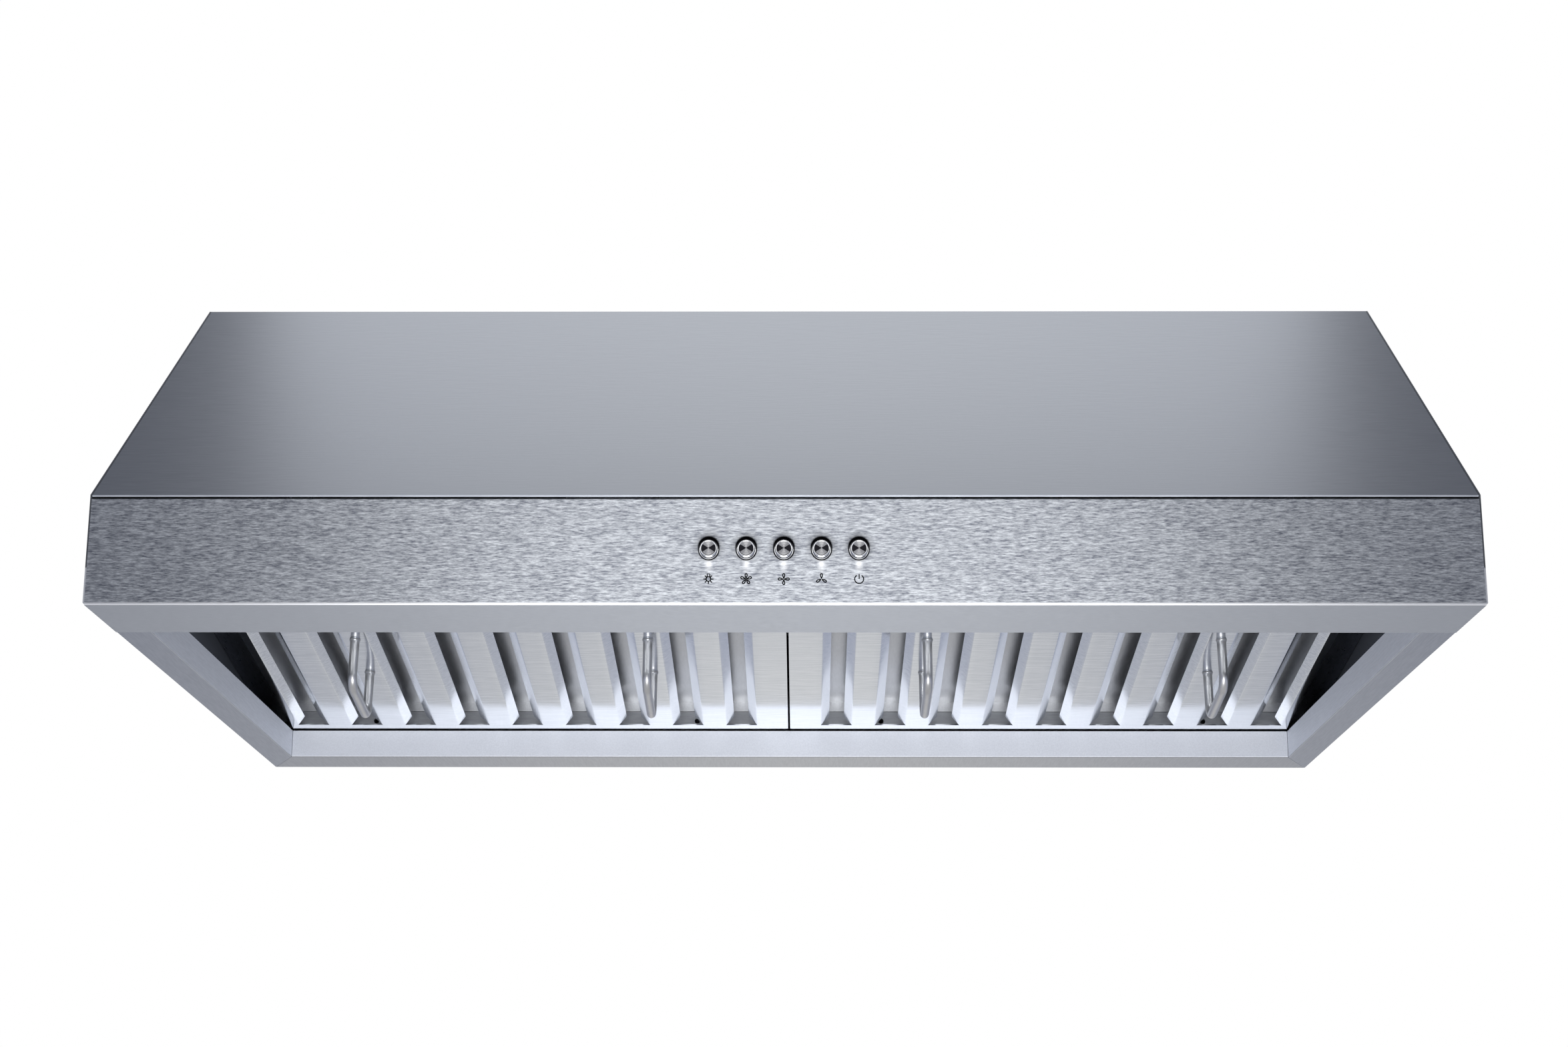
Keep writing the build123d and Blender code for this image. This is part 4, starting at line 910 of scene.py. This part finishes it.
def addCamera():
    # placed from the front bottom edge, then turned, lifted and rolled
    s = cameraPlace
    data = bpy.data.cameras.new("camera")
    data.lens = s["lensMm"]
    data.sensor_width = s["sensorMm"]
    data.clip_start = 0.01
    camera = bpy.data.objects.new("camera", data)
    bpy.context.scene.collection.objects.link(camera)
    place = Matrix.Translation((s["right"], frontY - s["before"], bottomZ - s["below"]))
    turn = Matrix.Rotation(math.radians(s["turnLeft"]), 4, "Z")
    lift = Matrix.Rotation(math.radians(90 + s["pitchUp"]), 4, "X")
    roll = Matrix.Rotation(math.radians(s["roll"]), 4, "Z")
    camera.matrix_world = place @ turn @ lift @ roll
    bpy.context.scene.camera = camera


studio = {
    # brightness by height of the direction (its z), behind the hood and before it
    "behind": [(-1.0, 0.60), (-0.50, 0.70), (-0.32, 1.10), (-0.24, 1.10), (-0.16, 0.50),
               (-0.02, 1.05), (0.50, 1.05), (0.66, 0.34), (1.0, 0.24)],
    "before": [(-1.0, 1.3), (-0.30, 1.8), (-0.12, 1.2), (0.04, 0.16), (0.30, 0.09),
               (0.70, 0.14), (1.0, 0.24)],
    "halfTurn": 0.25,  # the two curves blend over this much of the direction's y, either way
    "sideTint": (0.34, 0.365, 0.46), "sideStart": 0.02, "sideEnd": 0.34,  # darker, cooler sides
    "wallFoot": (-0.08, 0.02), "wallTop": (0.50, 0.66),  # an even white wall behind, by z
    "floorDrop": 2.2, "floorSize": 7.2, "floorGlow": 0.40, "floorGlowTone": (0.78, 0.78, 0.80, 1),
    "floorPaint": {"dark": (0.78, 0.78, 0.78), "light": (0.82, 0.82, 0.82), "rough": (0.6, 0.75),
                   "size": 8.0, "bump": 0.02},
    # place and aim are right, back and up from the middle of the front bottom edge
    "lights": {
        "topCard": {"place": (0, 0.62, 0.95), "aim": (0, 0.12, 0.15),
                    "size": (1.02, 0.42), "power": 0.86},
        "lowCard": {"place": (0, -0.95, -0.70), "aim": (0, 0.40, 0.02),
                    "size": (0.78, 0.62), "power": 9.0},
        "frontCard": {"place": (0, -1.70, 0.38), "aim": (0, 0, 0.03),
                      "size": (0.90, 0.24), "power": 0.80},
    },
}


def rampOver(tree, value, stops):
    # grey level by value from -1 to 1, straight between the stops
    ramp = tree.nodes.new("ShaderNodeValToRGB")
    elements = ramp.color_ramp.elements
    while len(elements) < len(stops):
        elements.new(0.5)
    for element, (place, level) in zip(elements, stops):
        element.position = (place + 1) / 2
        element.color = (level, level, level, 1)
    tree.links.new(spread(tree, value, 0, 1, -1, 1), ramp.inputs["Fac"])
    return ramp.outputs["Color"]


def studioWorld():
    # soft white room: one brightness curve behind the hood, one before it, less from the sides
    s = studio
    world = bpy.data.worlds.new("studio")
    world.use_nodes = True
    bpy.context.scene.world = world
    tree = world.node_tree
    direction = axes(tree, tree.nodes.new("ShaderNodeTexCoord").outputs["Generated"])
    behind = rampOver(tree, direction["Z"], s["behind"])
    before = rampOver(tree, direction["Z"], s["before"])
    toBack = spread(tree, direction["Y"], 0, 1, -s["halfTurn"], s["halfTurn"])
    room = mixColour(tree, toBack, before, behind)
    sideways = spread(tree, reckon(tree, "ABSOLUTE", direction["X"]), 0, 1,
                      s["sideStart"], s["sideEnd"])
    # the wall behind the hood is even, from the floor's edge to just above the view
    overFoot = spread(tree, direction["Z"], 0, 1, *s["wallFoot"])
    underTop = spread(tree, direction["Z"], 1, 0, *s["wallTop"])
    wall = product(tree, toBack, product(tree, overFoot, underTop))
    white = (1.0, 1.0, 1.0)
    tint = mixColour(tree, sideways, white, s["sideTint"])
    tint = mixColour(tree, wall, tint, white)
    # the backdrop itself is plain white: the curves only light the metal
    seen = tree.nodes.new("ShaderNodeLightPath").outputs["Is Camera Ray"]
    backdrop = mixColour(tree, seen, mixColour(tree, None, room, tint), white)
    tree.links.new(backdrop, tree.nodes["Background"].inputs["Color"])


def addFloor():
    # flat pale square under the hood, glowing a little so that it stays pale from every side
    s = studio
    z = cadBounds[0][2] - s["floorDrop"]
    line = np.linspace(-s["floorSize"] / 2, s["floorSize"] / 2, 5)
    x, y = np.meshgrid(line, line)
    points = np.stack([x, y, np.full_like(x, z)], -1)
    floor = meshObject("floor", points, gridFaces(5, 5), smooth=False)
    paint = plainMaterial("floorPaint", **s["floorPaint"])
    shader = paint.node_tree.nodes["Principled BSDF"]
    shader.inputs["Emission Color"].default_value = s["floorGlowTone"]
    shader.inputs["Emission Strength"].default_value = s["floorGlow"]
    floor.data.materials.append(paint)


def softLight(name, place, aim, size, power):
    # rectangular card of light that faces its aim
    data = bpy.data.lights.new(name, "AREA")
    data.shape = "RECTANGLE"
    data.size, data.size_y = size
    data.energy = power
    light = bpy.data.objects.new(name, data)
    bpy.context.scene.collection.objects.link(light)
    corner = Vector((0, frontY, bottomZ))
    light.location = corner + Vector(place)
    light.rotation_euler = (Vector(aim) - Vector(place)).to_track_quat("-Z", "Y").to_euler()


addCamera()
studioWorld()
addFloor()
for name, card in studio["lights"].items():
    softLight(name, **card)
bpy.context.scene.view_settings.view_transform = "Standard"
print("camera and studio set")
